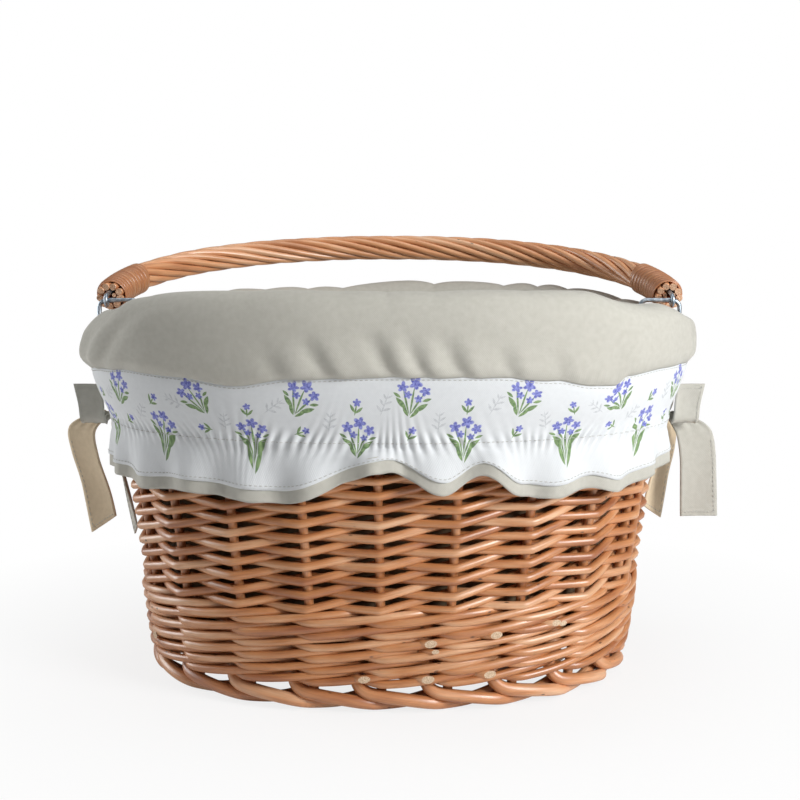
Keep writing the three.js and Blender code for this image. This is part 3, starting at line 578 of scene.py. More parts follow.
# printed cotton: white, with loose sprigs of small blue flowers and pale grey ferns between them
def printedFlowers():
    material, tree, shader = startMaterial("printedCotton")
    slubs = matteCloth(tree, shader, 0.08)[1]
    leafGroup, blossomGroup = leafShape(), blossomShape()
    place = addNode(tree, "ShaderNodeUVMap", uv_map="UVMap")
    flat = addNode(tree, "ShaderNodeVectorMath", {0: place, "Scale": 1 / mm}, operation="SCALE")
    split = addNode(tree, "ShaderNodeSeparateXYZ", {0: flat}).outputs
    width = sprig["columnWidth"]

    # place from the middle of each column's motif, standing upright and turned a little by chance
    def motifPlace(shift, topRow, rowStep, swing):
        moved = addNode(tree, "ShaderNodeMath", {0: split["X"], 1: shift}, operation="ADD")
        share = addNode(tree, "ShaderNodeMath", {0: moved, 1: width}, operation="DIVIDE")
        column = addNode(tree, "ShaderNodeMath", {0: share}, operation="FLOOR")
        within = addNode(tree, "ShaderNodeMath", {0: share}, operation="FRACT")
        x = addNode(tree, "ShaderNodeMath", {0: within, 1: width, 2: -width / 2}, operation="MULTIPLY_ADD")
        odd = addNode(tree, "ShaderNodeMath", {0: column, 1: 2}, operation="FLOORED_MODULO")
        row = addNode(tree, "ShaderNodeMath", {0: odd, 1: rowStep, 2: topRow}, operation="MULTIPLY_ADD")
        y = addNode(tree, "ShaderNodeMath", {0: row, 1: split["Y"]}, operation="SUBTRACT")
        chance = addNode(tree, "ShaderNodeTexWhiteNoise", {"W": column}, noise_dimensions="1D")
        angle = addNode(tree, "ShaderNodeMapRange", {"Value": chance, "To Min": -swing, "To Max": swing})
        joined = addNode(tree, "ShaderNodeCombineXYZ", {"X": x, "Y": y})
        return addNode(tree, "ShaderNodeVectorRotate", {"Vector": joined, "Angle": angle},
                       rotation_type="Z_AXIS")

    def larger(one, other):
        return addNode(tree, "ShaderNodeMath", {0: one, 1: other}, operation="MAXIMUM")

    def together(place, group, shapes):
        result = None
        for centre, turn, size in shapes:
            shape = addNode(tree, "ShaderNodeGroup", {
                "Place": place, "Centre": (*centre, 0), "Turn": math.radians(turn), "Size": (*size, 1)},
                node_tree=group)
            result = shape if result is None else larger(result, shape)
        return result

    main, bud, fern = (motifPlace(*sprig[motif]) for motif in ("main", "bud", "fern"))
    green = larger(together(main, leafGroup, sprig["stems"] + sprig["leaves"]),
                   together(bud, leafGroup, sprig["budLeaves"]))
    blue = larger(together(main, blossomGroup, sprig["blossoms"]),
                  together(bud, blossomGroup, sprig["budBlossoms"]))
    grey = together(fern, leafGroup, sprig["ferns"])

    # brush marks 2 mm wide in the colours of the print
    marks = addNode(tree, "ShaderNodeTexNoise", {"Vector": flat, "Scale": 0.55, "Detail": 2})
    contrast = addNode(tree, "ShaderNodeMapRange", {"Value": marks, "From Min": 0.35, "From Max": 0.65})

    colour = addNode(tree, "ShaderNodeMix", {0: slubs, 6: paint("#D6D9DB"), 7: paint("#E0E3E5")},
                     data_type="RGBA").outputs[2]
    inks = ((grey, 0.8, "#B4B8BC", "#CFD2D5"), (green, 0.92, "#4C6F38", "#86A466"),
            (blue, 0.95, "#4A50A8", "#9298DA"))
    for mask, strength, dark, light in inks:
        ink = addNode(tree, "ShaderNodeMix", {0: contrast, 6: paint(dark), 7: paint(light)},
                      data_type="RGBA").outputs[2]
        share = addNode(tree, "ShaderNodeMath", {0: mask, 1: strength}, operation="MULTIPLY")
        colour = addNode(tree, "ShaderNodeMix", {0: share, 6: colour, 7: ink}, data_type="RGBA").outputs[2]
    feed(tree, shader, {"Base Color": colour})
    return material


printedCotton = printedFlowers()
print("print ready")


# wickerwork

stakes = dict(diameter=6, taper=0.85, wander=0.5, wanderLength=37, footLap=4, rimLap=3, points=40)


def makeStakes():
    rods = []
    z = np.linspace(footHigh - stakes["footLap"], rimLow + stakes["rimLap"], stakes["points"])
    radius = stakes["diameter"] / 2 * np.linspace(1, stakes["taper"], len(z)) * mm
    for i in range(wall["stakes"]):
        wander = stakes["wander"] * np.sin(z / stakes["wanderLength"] + rng.uniform(0, 6))
        rods.append((onWall(stakeAt(i) + wander, z, 0), radius))
    nodes = [f"stake_{i + 1:02d}" for i in range(wall["stakes"])]
    dress(makeRods("stakes", rods, 12), "basket", "willow", nodes, willow, cutEnd)
    print("stakes:", len(rods))


makeStakes()

# French rand: one rod from each stake, climbing one row a stake, over one and behind one
siding = dict(rows=34, butt=5.3, tip=4.8, spread=(0.94, 1.06), reach=5.45, wave=2.3, kink=0.9985, jitter=0.3,
              endTrim=0.15, bendSteps=(0, 0.035, 0.08, 0.18, 0.38, 0.62, 0.82, 0.92, 0.965))


def makeSiding():
    rows = siding["rows"]
    pitch = (sidingHigh - sidingLow) / rows
    steps = np.add.outer(np.arange(-1, rows), siding["bendSteps"]).ravel()
    steps = steps[(steps > siding["endTrim"] - 1) & (steps < rows - siding["endTrim"])]
    # out and in again, bent sharply at the stakes
    swing = np.arcsin(siding["kink"] * np.cos(np.pi * steps)) / math.asin(siding["kink"])
    taper = np.linspace(siding["butt"], siding["tip"], len(steps)) / 2
    rods = []
    for i in range(wall["stakes"]):
        jitter = siding["jitter"] * np.interp(steps, np.arange(-1, rows + 1), rng.normal(0, 1, rows + 2))
        z = sidingLow + pitch * (steps + 0.5) - siding["wave"] * swing + jitter
        radius = taper * rng.uniform(*siding["spread"]) * mm
        rods.append((onWall(stakeAt(i) + steps * spacing, z, siding["reach"] * swing), radius))
    dress(makeRods("sidingRods", rods, 8), "basket", "willow", ["siding_weaver"], willow, cutEnd)
    print("siding rods:", len(rods), "pitch", round(pitch, 2), "mm")


makeSiding()

# three-rod wale: each rod passes before two stakes and behind one; keys are out and up for each quarter stake
# lowest and squeeze are in rounds, and keep the first and last rounds inside the wale's height
wale = dict(rounds=6, diameter=5.1, taper=(1.12, 0.88), spread=(0.88, 1.1), reach=5.9, rise=2.3, jitter=0.35,
            startStake=12, lowest=0.28, squeeze=0.4, perStake=16, joinEvery=15, endLap=0.2,
            outKeys=(1, 1.1, 1.1, 1.05, 1, 0.8, 0.35, -0.5, -1, -1, -0.75, 0.1),
            upKeys=(-1.1, -0.9, -0.45, 0.1, 0.7, 1.1, 1.25, 1.15, 0.95, 0.65, 0.2, -0.65))


def makeWale():
    pitch = (waleHigh - waleLow) / wale["rounds"]
    total = wall["stakes"] * wale["rounds"]
    rods = []
    for weaver in range(3):
        # joins lie behind a stake
        start = weaver - 1
        while start < total:
            stop = min(start + wale["joinEvery"], total)
            steps = np.arange(start - wale["endLap"], stop + wale["endLap"], 1 / wale["perStake"])
            phase = np.mod(steps - weaver, 3) * 4
            closeOut = throughPeriod(wale["outKeys"], phase)
            closeUp = throughPeriod(wale["upKeys"], phase)
            bends = rng.normal(0, 1, stop - start + 5)
            jitter = wale["jitter"] * np.interp(steps, np.arange(start - 2, stop + 3), bends)
            climb = np.clip(steps / wall["stakes"], 0, wale["rounds"])
            climb *= 1 - wale["squeeze"] / wale["rounds"]
            z = waleLow + pitch * (wale["lowest"] + climb) + wale["rise"] * closeUp + jitter
            size = wale["diameter"] / 2 * rng.uniform(*wale["spread"]) * mm
            radius = size * np.linspace(*wale["taper"], len(steps))
            rods.append((onWall(stakeAt(steps + wale["startStake"]), z, wale["reach"] * closeOut), radius))
            start = stop
    dress(makeRods("waleRods", rods, 8), "basket", "willow_dark", ["wale_weaver"], willow, cutEnd)
    print("wale rods:", len(rods))


makeWale()

# thick ends of new rods, let in from behind the wale and cut off level with its face
# places are length along the wall, height and diameter; past is what the cut takes off
butts = dict(out=9.9, slant=37, inside=20, past=4, rise=0.12, segments=16, places=[
    (26, 45.5, 4.6), (66, 49.2, 4.4), (105, 52.7, 3.8), (110, 51.7, 3.2), (29, 40.5, 2.8), (25, 23, 4.8),
    (64, 24.4, 4.6), (-15, 23.2, 4.4), (300, 40, 4.6), (345, 28, 4.6), (430, 44, 4.4), (520, 25, 4.6),
    (640, 38, 4.4), (760, 30, 4.6)])


def makeButts():
    bm = bmesh.new()
    toneLayer = bm.verts.layers.float.new("tone")
    spaceLayer = bm.verts.layers.float_vector.new("rodSpace")
    lean = math.radians(butts["slant"])
    for length, z, diameter in butts["places"]:
        here = Vector(onWall(length, z, butts["out"]))
        along = (Vector(onWall(length + 1, z + butts["rise"], butts["out"])) - here).normalized()
        outward = (Vector(onWall(length, z, butts["out"] + 1)) - here).normalized()
        axis = along * math.cos(lean) + outward * math.sin(lean)
        turn = axis.to_track_quat("Z", "Y").to_matrix().to_4x4()
        middle = Matrix.Translation(here - axis * (butts["inside"] / 2 - butts["past"]) * mm)
        radius = diameter / 2 * mm
        rod = bmesh.ops.create_cone(bm, cap_ends=True, segments=butts["segments"], radius1=radius,
                                    radius2=radius, depth=butts["inside"] * mm, matrix=middle @ turn)["verts"]
        faces = {face for vert in rod for face in vert.link_faces}
        edges = {edge for vert in rod for edge in vert.link_edges}
        cut = bmesh.ops.bisect_plane(bm, geom=[*rod, *edges, *faces], plane_co=here, plane_no=outward,
                                     clear_outer=True)["geom_cut"]
        brink = [edge for edge in cut if isinstance(edge, bmesh.types.BMEdge)]
        for face in bmesh.ops.edgeloop_fill(bm, edges=brink)["faces"]:
            face.material_index = 1
        tone = rng.uniform(0.2, 0.8)
        for vert in bm.verts:
            # a tone of 0 marks the new rod
            if vert[toneLayer] == 0:
                local = turn.inverted() @ (vert.co - here)
                vert[toneLayer] = tone
                vert[spaceLayer] = (local.z + length * mm, local.x, local.y)
    for face in bm.faces:
        face.smooth = len(face.verts) == 4
    bmesh.ops.recalc_face_normals(bm, faces=bm.faces)
    dress(addMesh("waleButts", bm), "basket", "willow_dark", [], willow, cutEnd)
    print("wale butts:", len(butts["places"]))


makeButts()

# foot border: from each stake a thick rod comes out under the wale, runs down to the right and tucks in
# keys are stakes along, height and distance out
foot = dict(diameter=8.2, spread=(0.94, 1.04), taper=0.86, shift=2, points=40,
            keys=[(-0.36, 24, -3), (-0.33, 17, -0.5), (-0.22, 12.8, 2.6), (0, 10.8, 4.2), (0.35, 8.8, 4.8),
                  (0.75, 6, 3.4), (1, 4.4, -1), (1.4, 5.5, -3.7), (1.8, 10, -5)])


def makeFoot():
    along, height, out = throughKeys(foot["keys"], np.linspace(0, 1, foot["points"])).T
    rods = []
    for i in range(wall["stakes"]):
        scale = rng.uniform(*foot["spread"])
        length = stakeAt(i) + along * spacing + rng.uniform(-foot["shift"], foot["shift"])
        radius = foot["diameter"] / 2 * scale * np.linspace(1, foot["taper"], foot["points"])
        rods.append((onWall(length, np.maximum(height, radius), out), radius * mm))
    dress(makeRods("footBorder", rods, 12), "basket", "willow_dark", ["foot_border"], footWillowLit, cutEnd)
    print("foot border rods:", len(rods))


makeFoot()

# base: crossed sticks with rods woven round them in ovals, seen from below
base = dict(stick=6, stickSpacing=34, stickDrop=0.5, stickPoints=12, longSticks=3, crossSticks=7,
            rod=3.8, rings=22, ringPoints=181, waves=30, weave=0.62, edgeOut=-10)


def makeBase():
    middle = (baseLow + baseHigh) / 2
    edge = wallHalf(middle) + base["edgeOut"]
    rods = []
    for count, alongX in ((base["longSticks"], True), (base["crossSticks"], False)):
        for k in range(count):
            offset = (k - (count - 1) / 2) * base["stickSpacing"]
            halfAlong, halfAside = edge, edge - wall["depthStep"]
            if not alongX:
                halfAlong, halfAside = halfAside, halfAlong
            reach = halfAlong * (1 - (abs(offset) / halfAside) ** wall["power"]) ** (1 / wall["power"])
            along = np.linspace(-reach, reach, base["stickPoints"])
            aside = np.full_like(along, offset)
            z = np.full_like(along, middle - base["stickDrop"])
            line = np.c_[along, aside, z] if alongX else np.c_[aside, along, z]
            rods.append((line * mm, base["stick"] / 2 * mm))
    angle = np.linspace(0, 2 * np.pi, base["ringPoints"])
    for k in range(base["rings"]):
        halfDepth = (edge - wall["depthStep"]) * (k + 1) / base["rings"]
        ring = ovalPoint(angle, halfDepth + wall["depthStep"], halfDepth, wall["power"])
        swing = np.cos(base["waves"] / 2 * angle + np.pi * k)
        z = middle + (base["stick"] + base["rod"]) / 2 * base["weave"] * swing
        rods.append((np.c_[ring, z] * mm, base["rod"] / 2 * mm))
    dress(makeRods("baseWeave", rods, 6), "basket", "willow_dark", ["base_weave"], footWillowLit, cutEnd)
    print("base rods:", len(rods))


makeBase()

# rim border: the stakes' ends laid down and rolled round each other under the cuff
rim = dict(strands=5, diameter=5.4, height=16, turnsPerStake=0.34, perStake=12)


def makeRim():
    steps = np.linspace(0, wall["stakes"], wall["stakes"] * rim["perStake"] + 1)
    rollRadius = (min(rimHigh - rimLow, rim["height"]) - rim["diameter"]) / 2
    rods = []
    for k in range(rim["strands"]):
        turn = 2 * np.pi * (rim["turnsPerStake"] * steps + k / rim["strands"])
        z = (rimLow + rimHigh) / 2 + rollRadius * np.sin(turn)
        rods.append((onWall(stakeAt(steps), z, rollRadius * np.cos(turn)), rim["diameter"] / 2 * mm))
    dress(makeRods("rimBorder", rods, 8), "basket", "willow", ["rim_border"], willow, cutEnd)
    print("rim border strands:", len(rods))


makeRim()
print("wickerwork done")

# cloth liner: front and back halves, each from slit to slit

halves = dict(slitHalf=14, names=("front", "back"))
halfSpan = 2 * (quarter - halves["slitHalf"])


def halfLength(half, share):
    return (2 * half - 1) * quarter + halves["slitHalf"] + share * halfSpan


# keys of a profile, each out and up, with a column for every share along the half
def profileKeys(keys, share):
    zero = 0 * share
    return np.array([np.stack([out + zero, z + zero], -1) for out, z in keys])


# bag: hangs inside the wall in shallow pleats and lies rippled on the base; keys are out and up
bag = dict(columns=220, rows=80, wallShare=0.62, pleat=3.2, pleatLength=46, pleatDrift=1.6, driftTurns=5,
           ripple=1.2, rippleX=17, rippleY=23, thickness=0.9, cut=(0.9, 0.28), area=0.225,
           keys=[(-8.7, 215.5), (-8.8, 198), (-9.3, 150), (-9.4, 100), (-9.4, 60), (-10.5, 38), (-16, 27.6),
                 (-32, 25.4)])


def bagPlace(u, v):
    wallPart = np.clip(v / bag["wallShare"], 0, 1)
    profile = throughKeys(bag["keys"], evenly(bag["keys"], wallPart))
    # whole pleats round the bag, closer and wider by turns
    turn = 2 * np.pi * u
    drift = bag["pleatDrift"] * np.sin(turn * bag["driftTurns"])
    pleats = 0.5 + 0.5 * np.sin(turn * round(girth / bag["pleatLength"]) + drift)
    depth = bag["pleat"] * pleats * np.sin(np.pi * wallPart) ** 0.8
    points = onWall(u * girth, profile[:, 1], profile[:, 0] - depth)
    inward = np.clip((v - bag["wallShare"]) / (1 - bag["wallShare"]), 0, 1)
    points[:, :2] *= 1 - inward[:, None]
    x, y = points[:, 0] / mm, points[:, 1] / mm
    ripple = 0.5 + 0.5 * np.sin(x / bag["rippleX"] + 2 * np.sin(y / bag["rippleY"]))
    points[:, 2] += bag["ripple"] * mm * ripple * np.sin(np.pi * inward)
    return points


def makeBag():
    obj = makeCloth("linerBag", bag["columns"], bag["rows"], bag["cut"], bagPlace, joined=True)
    # the outer face takes the darker brown cloth: painted shade seen through the gaps of the weave
    thicken(obj, bag["thickness"]).material_offset = 1
    dress(obj, "basket", "beige_cloth", ["liner_bag"], gapShade, canvas)
    print("liner bag done")


makeBag()

# cuffs: rolled over the rim, full in the middle and low at the slits, with soft folds above the seam
# pairs are for the front and the back
cuff = dict(columns=320, rows=64, rise=(22, 16), sideRise=2.4, dipLength=75, bulge=21.5, bulgeDrop=7,
            leftFall=8, leftSwell=3.5, seamOut=18.5, seamDrop=13, skirt=-9.6, thickness=1.1, cut=(0.52, 0.1),
            swell=1.2, swellSize=55, crestWidth=0.16, puff=(0.6, 3), puffLength=37,
            foldRidge=0.6, foldSpread=0.8, foldFade=0.7)
# rise of the seam along the half from its middle, mm
seamWave = [(-225, -4), (-200, -4), (-165, -1), (-142, 0.8), (-104, -0.7), (-75, -4.2), (-46, 0.3), (0, 1.8),
            (50, 1.3), (82, -1.7), (104, -5.7), (116, -6.7), (124, -1.2), (151, 0.8), (225, 0.3)]
# dips of the crest along the half from its middle: start, full, full until, end and depth in mm
cuffDips = ([(-186, -172, -160, -144, 2), (98, 124, 138, 160, 4.5)], [(-20, 60, 132, 198, 4)])
# folds: length at the seam from the half's middle, lean towards the crest, depth and width in mm,
# and reach up the face
cuffFolds = (
    [(-200, 10, 1.8, 7, 0.7), (-184, 26, 2.8, 8, 0.95), (-163, 40, 2.6, 8, 0.95), (-142, 30, 1.2, 8, 0.6),
     (-50, -20, 1.2, 5, 0.4), (-26, -30, 2, 4.5, 0.5), (4, -28, 2.4, 4.5, 0.55), (19, -24, 2, 3.6, 0.48),
     (37, -26, 2.2, 4.2, 0.5), (60, -20, 1.6, 4.2, 0.42), (84, -14, 1.3, 5, 0.4), (116, -10, 1.4, 6, 0.45),
     (176, -22, 2, 8, 0.8), (197, -12, 1.8, 7, 0.7)],
    [(-192, 18, 2.4, 8, 0.9), (-150, 26, 1.8, 8, 0.8), (-96, -14, 1.6, 6, 0.6), (-48, 20, 2.2, 7, 0.7),
     (12, -18, 2.2, 6, 0.7), (66, 14, 1.8, 6, 0.6), (110, -20, 2, 7, 0.8), (170, -24, 2.4, 8, 0.9)])


# profile from the skirt inside, over the crest, to the seam outside
def cuffKeys(half, share):
    fromSlit = halfSpan * np.minimum(share, 1 - share)
    low = np.exp(-(fromSlit / cuff["dipLength"]) ** 2)
    atLeft = np.where((share < 0.5) == (half == 0), low, 0)
    rise = cuff["rise"][half]
    crown = rise + (cuff["sideRise"] - rise) * low - 1
    fall = cuff["leftFall"] * atLeft
    skirt, bulge = cuff["skirt"], cuff["bulge"] + cuff["leftSwell"] * atLeft
    return profileKeys([
        (skirt, linerHigh + 0.6), (skirt - 0.3, rimHigh - 3.5), (skirt * 0.84, rimHigh + crown * 0.45),
        (skirt * 0.26, rimHigh + crown * 0.9), (bulge * 0.2, rimHigh + crown),
        (bulge * 0.58, rimHigh + crown * 0.82 - 1 - fall * 0.7),
        (bulge * 0.88, rimHigh + crown * 0.35 - 4.7 - fall * 1.2),
        (bulge, rimLow - cuff["bulgeDrop"]), (cuff["seamOut"], rimLow - cuff["seamDrop"])], share)


def cuffPlace(half, u, v):
    keys = cuffKeys(half, u)
    share = evenly(keys, v)
    profile = throughKeys(keys, share)
    slope = throughKeys(keys, share + 0.01) - throughKeys(keys, share - 0.01)
    slope /= np.linalg.norm(slope, axis=1, keepdims=True)
    length = halfLength(half, u)
    fromMiddle = halfSpan * (u - 0.5)
    face = smooth(share, 0.5, 1)
    push = np.zeros(len(u))
    for place, lean, depth, width, reach in cuffFolds[half]:
        aside = (fromMiddle - place - lean * (1 - face)) / (width * (1 + cuff["foldSpread"] * (1 - face)))
        fade = smooth(face, 1 - reach, 1 - 0.4 * reach) * (1 - cuff["foldFade"] * smooth(share, 0.88, 1))
        ridge = cuff["foldRidge"] * np.exp(-((aside - 1.5) / 1.2) ** 2)
        push += depth * fade * (ridge - np.exp(-aside ** 2))
    # puffs along the crest, with creases between them
    crest = np.exp(-((share - 0.5) / cuff["crestWidth"]) ** 2)
    uneven = 1.1 * np.sin(length / 29) + 0.5 * np.sin(length / 11.7)
    puffs = np.abs(np.sin(np.pi * length / cuff["puffLength"] + uneven))
    push += cuff["puff"][half] * crest * (puffs ** 0.6 - 0.6) * smooth(np.minimum(u, 1 - u), 0.02, 0.14)
    for start, full, until, end, depth in cuffDips[half]:
        push -= depth * crest * smooth(fromMiddle, start, full) * (1 - smooth(fromMiddle, until, end))
    profile[:, 1] += eased(seamWave, fromMiddle) * smooth(share, 0.75, 1)
    swell = lumps(onWall(length, profile[:, 1], profile[:, 0]), cuff["swellSize"], 2 + half)
    push += cuff["swell"] * swell * smooth(share, 0.1, 0.4) * (1 - smooth(share, 0.9, 1))
    return onWall(length, profile[:, 1] + slope[:, 0] * push, profile[:, 0] - slope[:, 1] * push)


def makeCuff(half):
    name = halves["names"][half]
    obj = makeCloth("cuff" + name.title(), cuff["columns"], cuff["rows"], cuff["cut"],
                    lambda u, v: cuffPlace(half, u, v))
    thicken(obj, cuff["thickness"])
    dress(obj, "basket", "beige_cloth", ["cuff_" + name], canvas)
    print("cuff done:", name)


for half in (0, 1):
    makeCuff(half)

# frills: printed cotton sewn under the cuffs, drawn in by the elastic, with a scalloped lower edge
# seams are the shares down the frill where stitches run
frill = dict(columns=640, rows=48, lap=2.4, midOut=16, pinch=2.2, pinchLength=20, waistDrop=37, waistOut=10.4,
             hemDrop=58.5, hemOut=14.5, folds=13, foldDepth=2.5, gather=1.8, gatherLength=5, gatherHeight=4.5,
             gatherTail=0.3, thickness=0.8, cut=(0.58, 0.062), seams=(0.14, 0.6, 0.95), seamStretch=1.17)
# behind is how far the hem's upper lines lie behind its lower edge
hem = dict(rows=6, height=7.5, lap=2.5, behind=(1.7, 1.1, 0.5), crease=0.5, thickness=1.3, cut=(0.55, 0.0105))
elastic = dict(columns=300, rows=6, out=8.7, height=7, rib=0.1, thickness=0.9, cut=(0.4, 0.0075))
# drop of the hem below its mean, along the half from its middle, mm
scallops = [(-215, 3), (-166, 3), (-150, 6), (-113, 3.7), (-58, 7.2), (0, -12.5), (30, 1), (50, -9.8),
            (73, 4), (88, 5.7), (113, 2), (132, 6.5), (166, 1.2), (215, -4)]
seamHeight = rimLow - cuff["seamDrop"]
waistHeight = seamHeight - frill["waistDrop"]


# out and up of the line where the hem is sewn on
def hemLine(share):
    out = frill["hemOut"] + frill["foldDepth"] * np.sin(2 * np.pi * frill["folds"] * share)
    return out, seamHeight - frill["hemDrop"] - eased(scallops, halfSpan * (share - 0.5))


# puckers along the elastic, uneven in strength, reach and lean
def gathers(length, above):
    strength = 0.7 + 0.3 * np.sin(length / 19 + 2 * np.sin(length / 43))
    reach = 13 + 7 * np.sin(length / 8.3 + 2 * np.sin(length / 31))
    place = length + 0.5 * above * np.sin(length / 26)
    waves = 0.5 + 0.5 * np.sin(2 * np.pi * place / frill["gatherLength"] + 2.4 * np.sin(place / 14)
                               + 1.3 * np.sin(place / 5.7))
    tail = frill["gatherTail"] * np.exp(-(above / reach) ** 2)
    return strength * waves * (np.exp(-(above / frill["gatherHeight"]) ** 2) + tail)


def frillPlace(half, u, v, lift=0, even=True):
    length = halfLength(half, u)
    fromSlit = halfSpan * np.minimum(u, 1 - u)
    pinch = frill["pinch"] * np.exp(-(fromSlit / frill["pinchLength"]) ** 2)
    hemOut, low = hemLine(u)
    top = seamHeight - 0.3 + eased(seamWave, halfSpan * (u - 0.5))
    keys = profileKeys([
        (cuff["seamOut"] - 1.3, top + frill["lap"]), (cuff["seamOut"] - 0.3, top - 4),
        (frill["midOut"] - pinch, (top + waistHeight) / 2), (frill["waistOut"], waistHeight),
        ((frill["waistOut"] + hemOut) / 2, (waistHeight + low) / 2), (hemOut, low)], u)
    profile = throughKeys(keys, evenly(keys, v) if even else v)
    out = profile[:, 0] + lift + frill["gather"] * gathers(length, profile[:, 1] - waistHeight)
    return onWall(length, profile[:, 1], out)


def hemPlace(half, u, v):
    length = halfLength(half, u)
    out, low = hemLine(u)
    top, sewn, middle = hem["behind"]
    keys = profileKeys([(out - top, low + hem["lap"]), (out - sewn, low),
                        (out - middle, low - hem["height"] / 2), (out, low - hem["height"])], u)
    profile = throughKeys(keys, v)
    # small creases, deeper towards the lower edge
    creases = hem["crease"] * v * np.sin(length / 3.4 + 3 * np.sin(length / 14) + 1.5 * np.sin(length / 37))
    return onWall(length, profile[:, 1] + 0.6 * creases * v, profile[:, 0] + creases)


def elasticPlace(half, u, v):
    length = halfLength(half, u)
    z = waistHeight + elastic["height"] * (0.5 - v)
    return onWall(length, z, elastic["out"] + elastic["rib"] * np.sin(2 * np.pi * length / 3))


# rows of running stitches along place(u), each a short thread lying on the cloth
stitch = dict(length=1.8, step=2.9, diameter=0.45, lift=0.15)
stitchRows = []


def addStitches(place, rowLength):
    count = int(rowLength / stitch["step"])
    radius = stitch["diameter"] / 2 * np.array([0.5, 0.9, 1, 0.9, 0.5]) * mm
    for k in range(count):
        u = (k + 0.5 + np.linspace(-0.5, 0.5, 5) * stitch["length"] / stitch["step"]) / count
        stitchRows.append((place(u), radius))


def makeFrill(half):
    name = halves["names"][half]
    title = name.title()
    obj = makeCloth("frill" + title, frill["columns"], frill["rows"], frill["cut"],
                    lambda u, v: frillPlace(half, u, v))
    thicken(obj, frill["thickness"])
    dress(obj, "basket", "print_cloth", ["frill_" + name], printedCotton)
    edging = makeCloth("hem" + title, frill["columns"], hem["rows"], hem["cut"],
                       lambda u, v: hemPlace(half, u, v))
    thicken(edging, hem["thickness"])
    dress(edging, "basket", "beige_cloth", ["hem_" + name], canvas)
    band = makeCloth("elastic" + title, elastic["columns"], elastic["rows"], elastic["cut"],
                     lambda u, v: elasticPlace(half, u, v))
    thicken(band, elastic["thickness"])
    dress(band, "basket", "elastic", ["elastic_" + name], elasticTape)
    lift = frill["thickness"] / 2 + stitch["lift"]
    seamLength = halfSpan * frill["seamStretch"]
    for seam in frill["seams"]:
        addStitches(lambda u: frillPlace(half, u, seam + 0 * u, lift, even=False), seamLength)
    print("frill done:", name)


for half in (0, 1):
    makeFrill(half)

# ties: a knot at each slit, with a folded-up flap and two hanging ends
knots = dict(out=12, rise=8, half=(4.6, 15, 9), wrapLean=0.18, wrapEdge=(0.34, 0.44), wrapRise=0.16,
             creaseDepth=0.08, foldDepth=0.16)
# paths run out, along Y and down; the side seam is its place across, start and span along the ribbon,
# and the end seam its distance from the end, start and span across
ties = dict(ribbon=25, neck=10, flapWidth=18, thickness=1.1, columns=14, rows=70, pleat=1.2, cup=0.8,
            sway=0.9, sideSeam=(0.9, 0.35, 0.6), endSeam=(4, 0.08, 0.84), frontSlant=(14, 0), backSlant=12,
            flapPath=[(2, -8, -0.7), (8.7, -14.5, 4.5), (10.1, -20, 2), (10.9, -21.5, -9), (13.1, -21, -21)],
            leftPath=[(1.7, -2.5, 0.3), (10, -5, 3), (20.2, -7, 11), (18.6, -7.5, 27), (12.4, -7, 49),
                      (7.4, -6.5, 75)],
            rightPath=[(1.7, -2.5, 0.3), (10, -4, 4), (18.4, -5, 12), (21.8, -5, 27), (23, -4.5, 47),
                       (23.8, -4, 70)],
            leftBackPath=[(-1, 6, 0.4), (2, 8, 10), (0.5, 10, 28), (-4, 11, 52), (-10.5, 11, 82)],
            rightBackPath=[(-1, 6, 0.4), (3, 8, 10), (3, 10, 28), (-1, 11, 48), (-5, 11, 70)],
            flapTurn=0.25, leftTurn=0.6, rightTurn=0.14, leftBackTurn=1.3, rightBackTurn=0.9)
knotHeight = waistHeight + knots["rise"]
knotX = wallHalf(knotHeight) + knots["out"]
knotBottom = knotHeight - knots["half"][2]


def ribbonPlace(side, path, turn, width, u, v, lift=0, slant=0):
    keys = [(side * (knotX + out), y, knotBottom - drop) for out, y, drop in path]
    share = evenly(keys, v)
    centre = throughKeys(keys, share)
    along = throughKeys(keys, share + 0.02) - throughKeys(keys, share - 0.02)
    along /= np.linalg.norm(along, axis=1, keepdims=True)
    across = np.array([side * math.cos(turn), math.sin(turn), 0])
    face = np.cross(along, across)
    face /= np.linalg.norm(face, axis=1, keepdims=True)
    # the face looks to the front, or outward where the ribbon hangs edge on
    face *= np.where(face[:, 1:2] > 0, -1, 1) if abs(turn) < 1 else side * np.sign(face[:, :1])
    full = ties["neck"] + (width - ties["neck"]) * smooth(share, 0, 0.4)
    tight = 1 - smooth(share, 0.05, 0.5)
    pleats = ties["pleat"] * tight * np.cos(6 * np.pi * u) + ties["cup"] * (4 * (u - 0.5) ** 2 - 0.4)
    sway = ties["sway"] * np.sin(5 * v + 3 * u) * smooth(v, 0.3, 0.8)
    points = centre + across * ((u - 0.5) * full)[:, None] + face * (pleats + sway + lift)[:, None]
    points += along * (slant * (u - 0.5) * smooth(v, 0.6, 1))[:, None]
    return points * mm


def makeRibbon(name, node, side, path, turn, width, cloth, slant=0):
    length = runningLength(np.array(path, float))[-1]
    cut = (width * mm, length * mm)

    def place(u, v, lift=0):
        return ribbonPlace(side, path, turn, width, u, v, lift, slant)

    obj = makeCloth(name, ties["columns"], ties["rows"], cut, place)
    thicken(obj, ties["thickness"])
    dress(obj, "basket", "beige_cloth", [node], cloth)
    # one seam down a side and one along the end
    lift = ties["thickness"] / 2 + stitch["lift"]
    across, start, span = ties["sideSeam"]
    addStitches(lambda t: place(np.full(len(t), across), start + span * t, lift), length * span)
    inset, start, span = ties["endSeam"]
    addStitches(lambda t: place(start + span * t, np.full(len(t), 1 - inset / length), lift), width)


# UV in metres round the knot
def mapKnot(bm):
    layer = bm.loops.layers.uv.new("UVMap")
    for face in bm.faces:
        face.smooth = True
        for loop in face.loops:
            loop[layer].uv = (loop.vert.co.y + loop.vert.co.x, loop.vert.co.z)


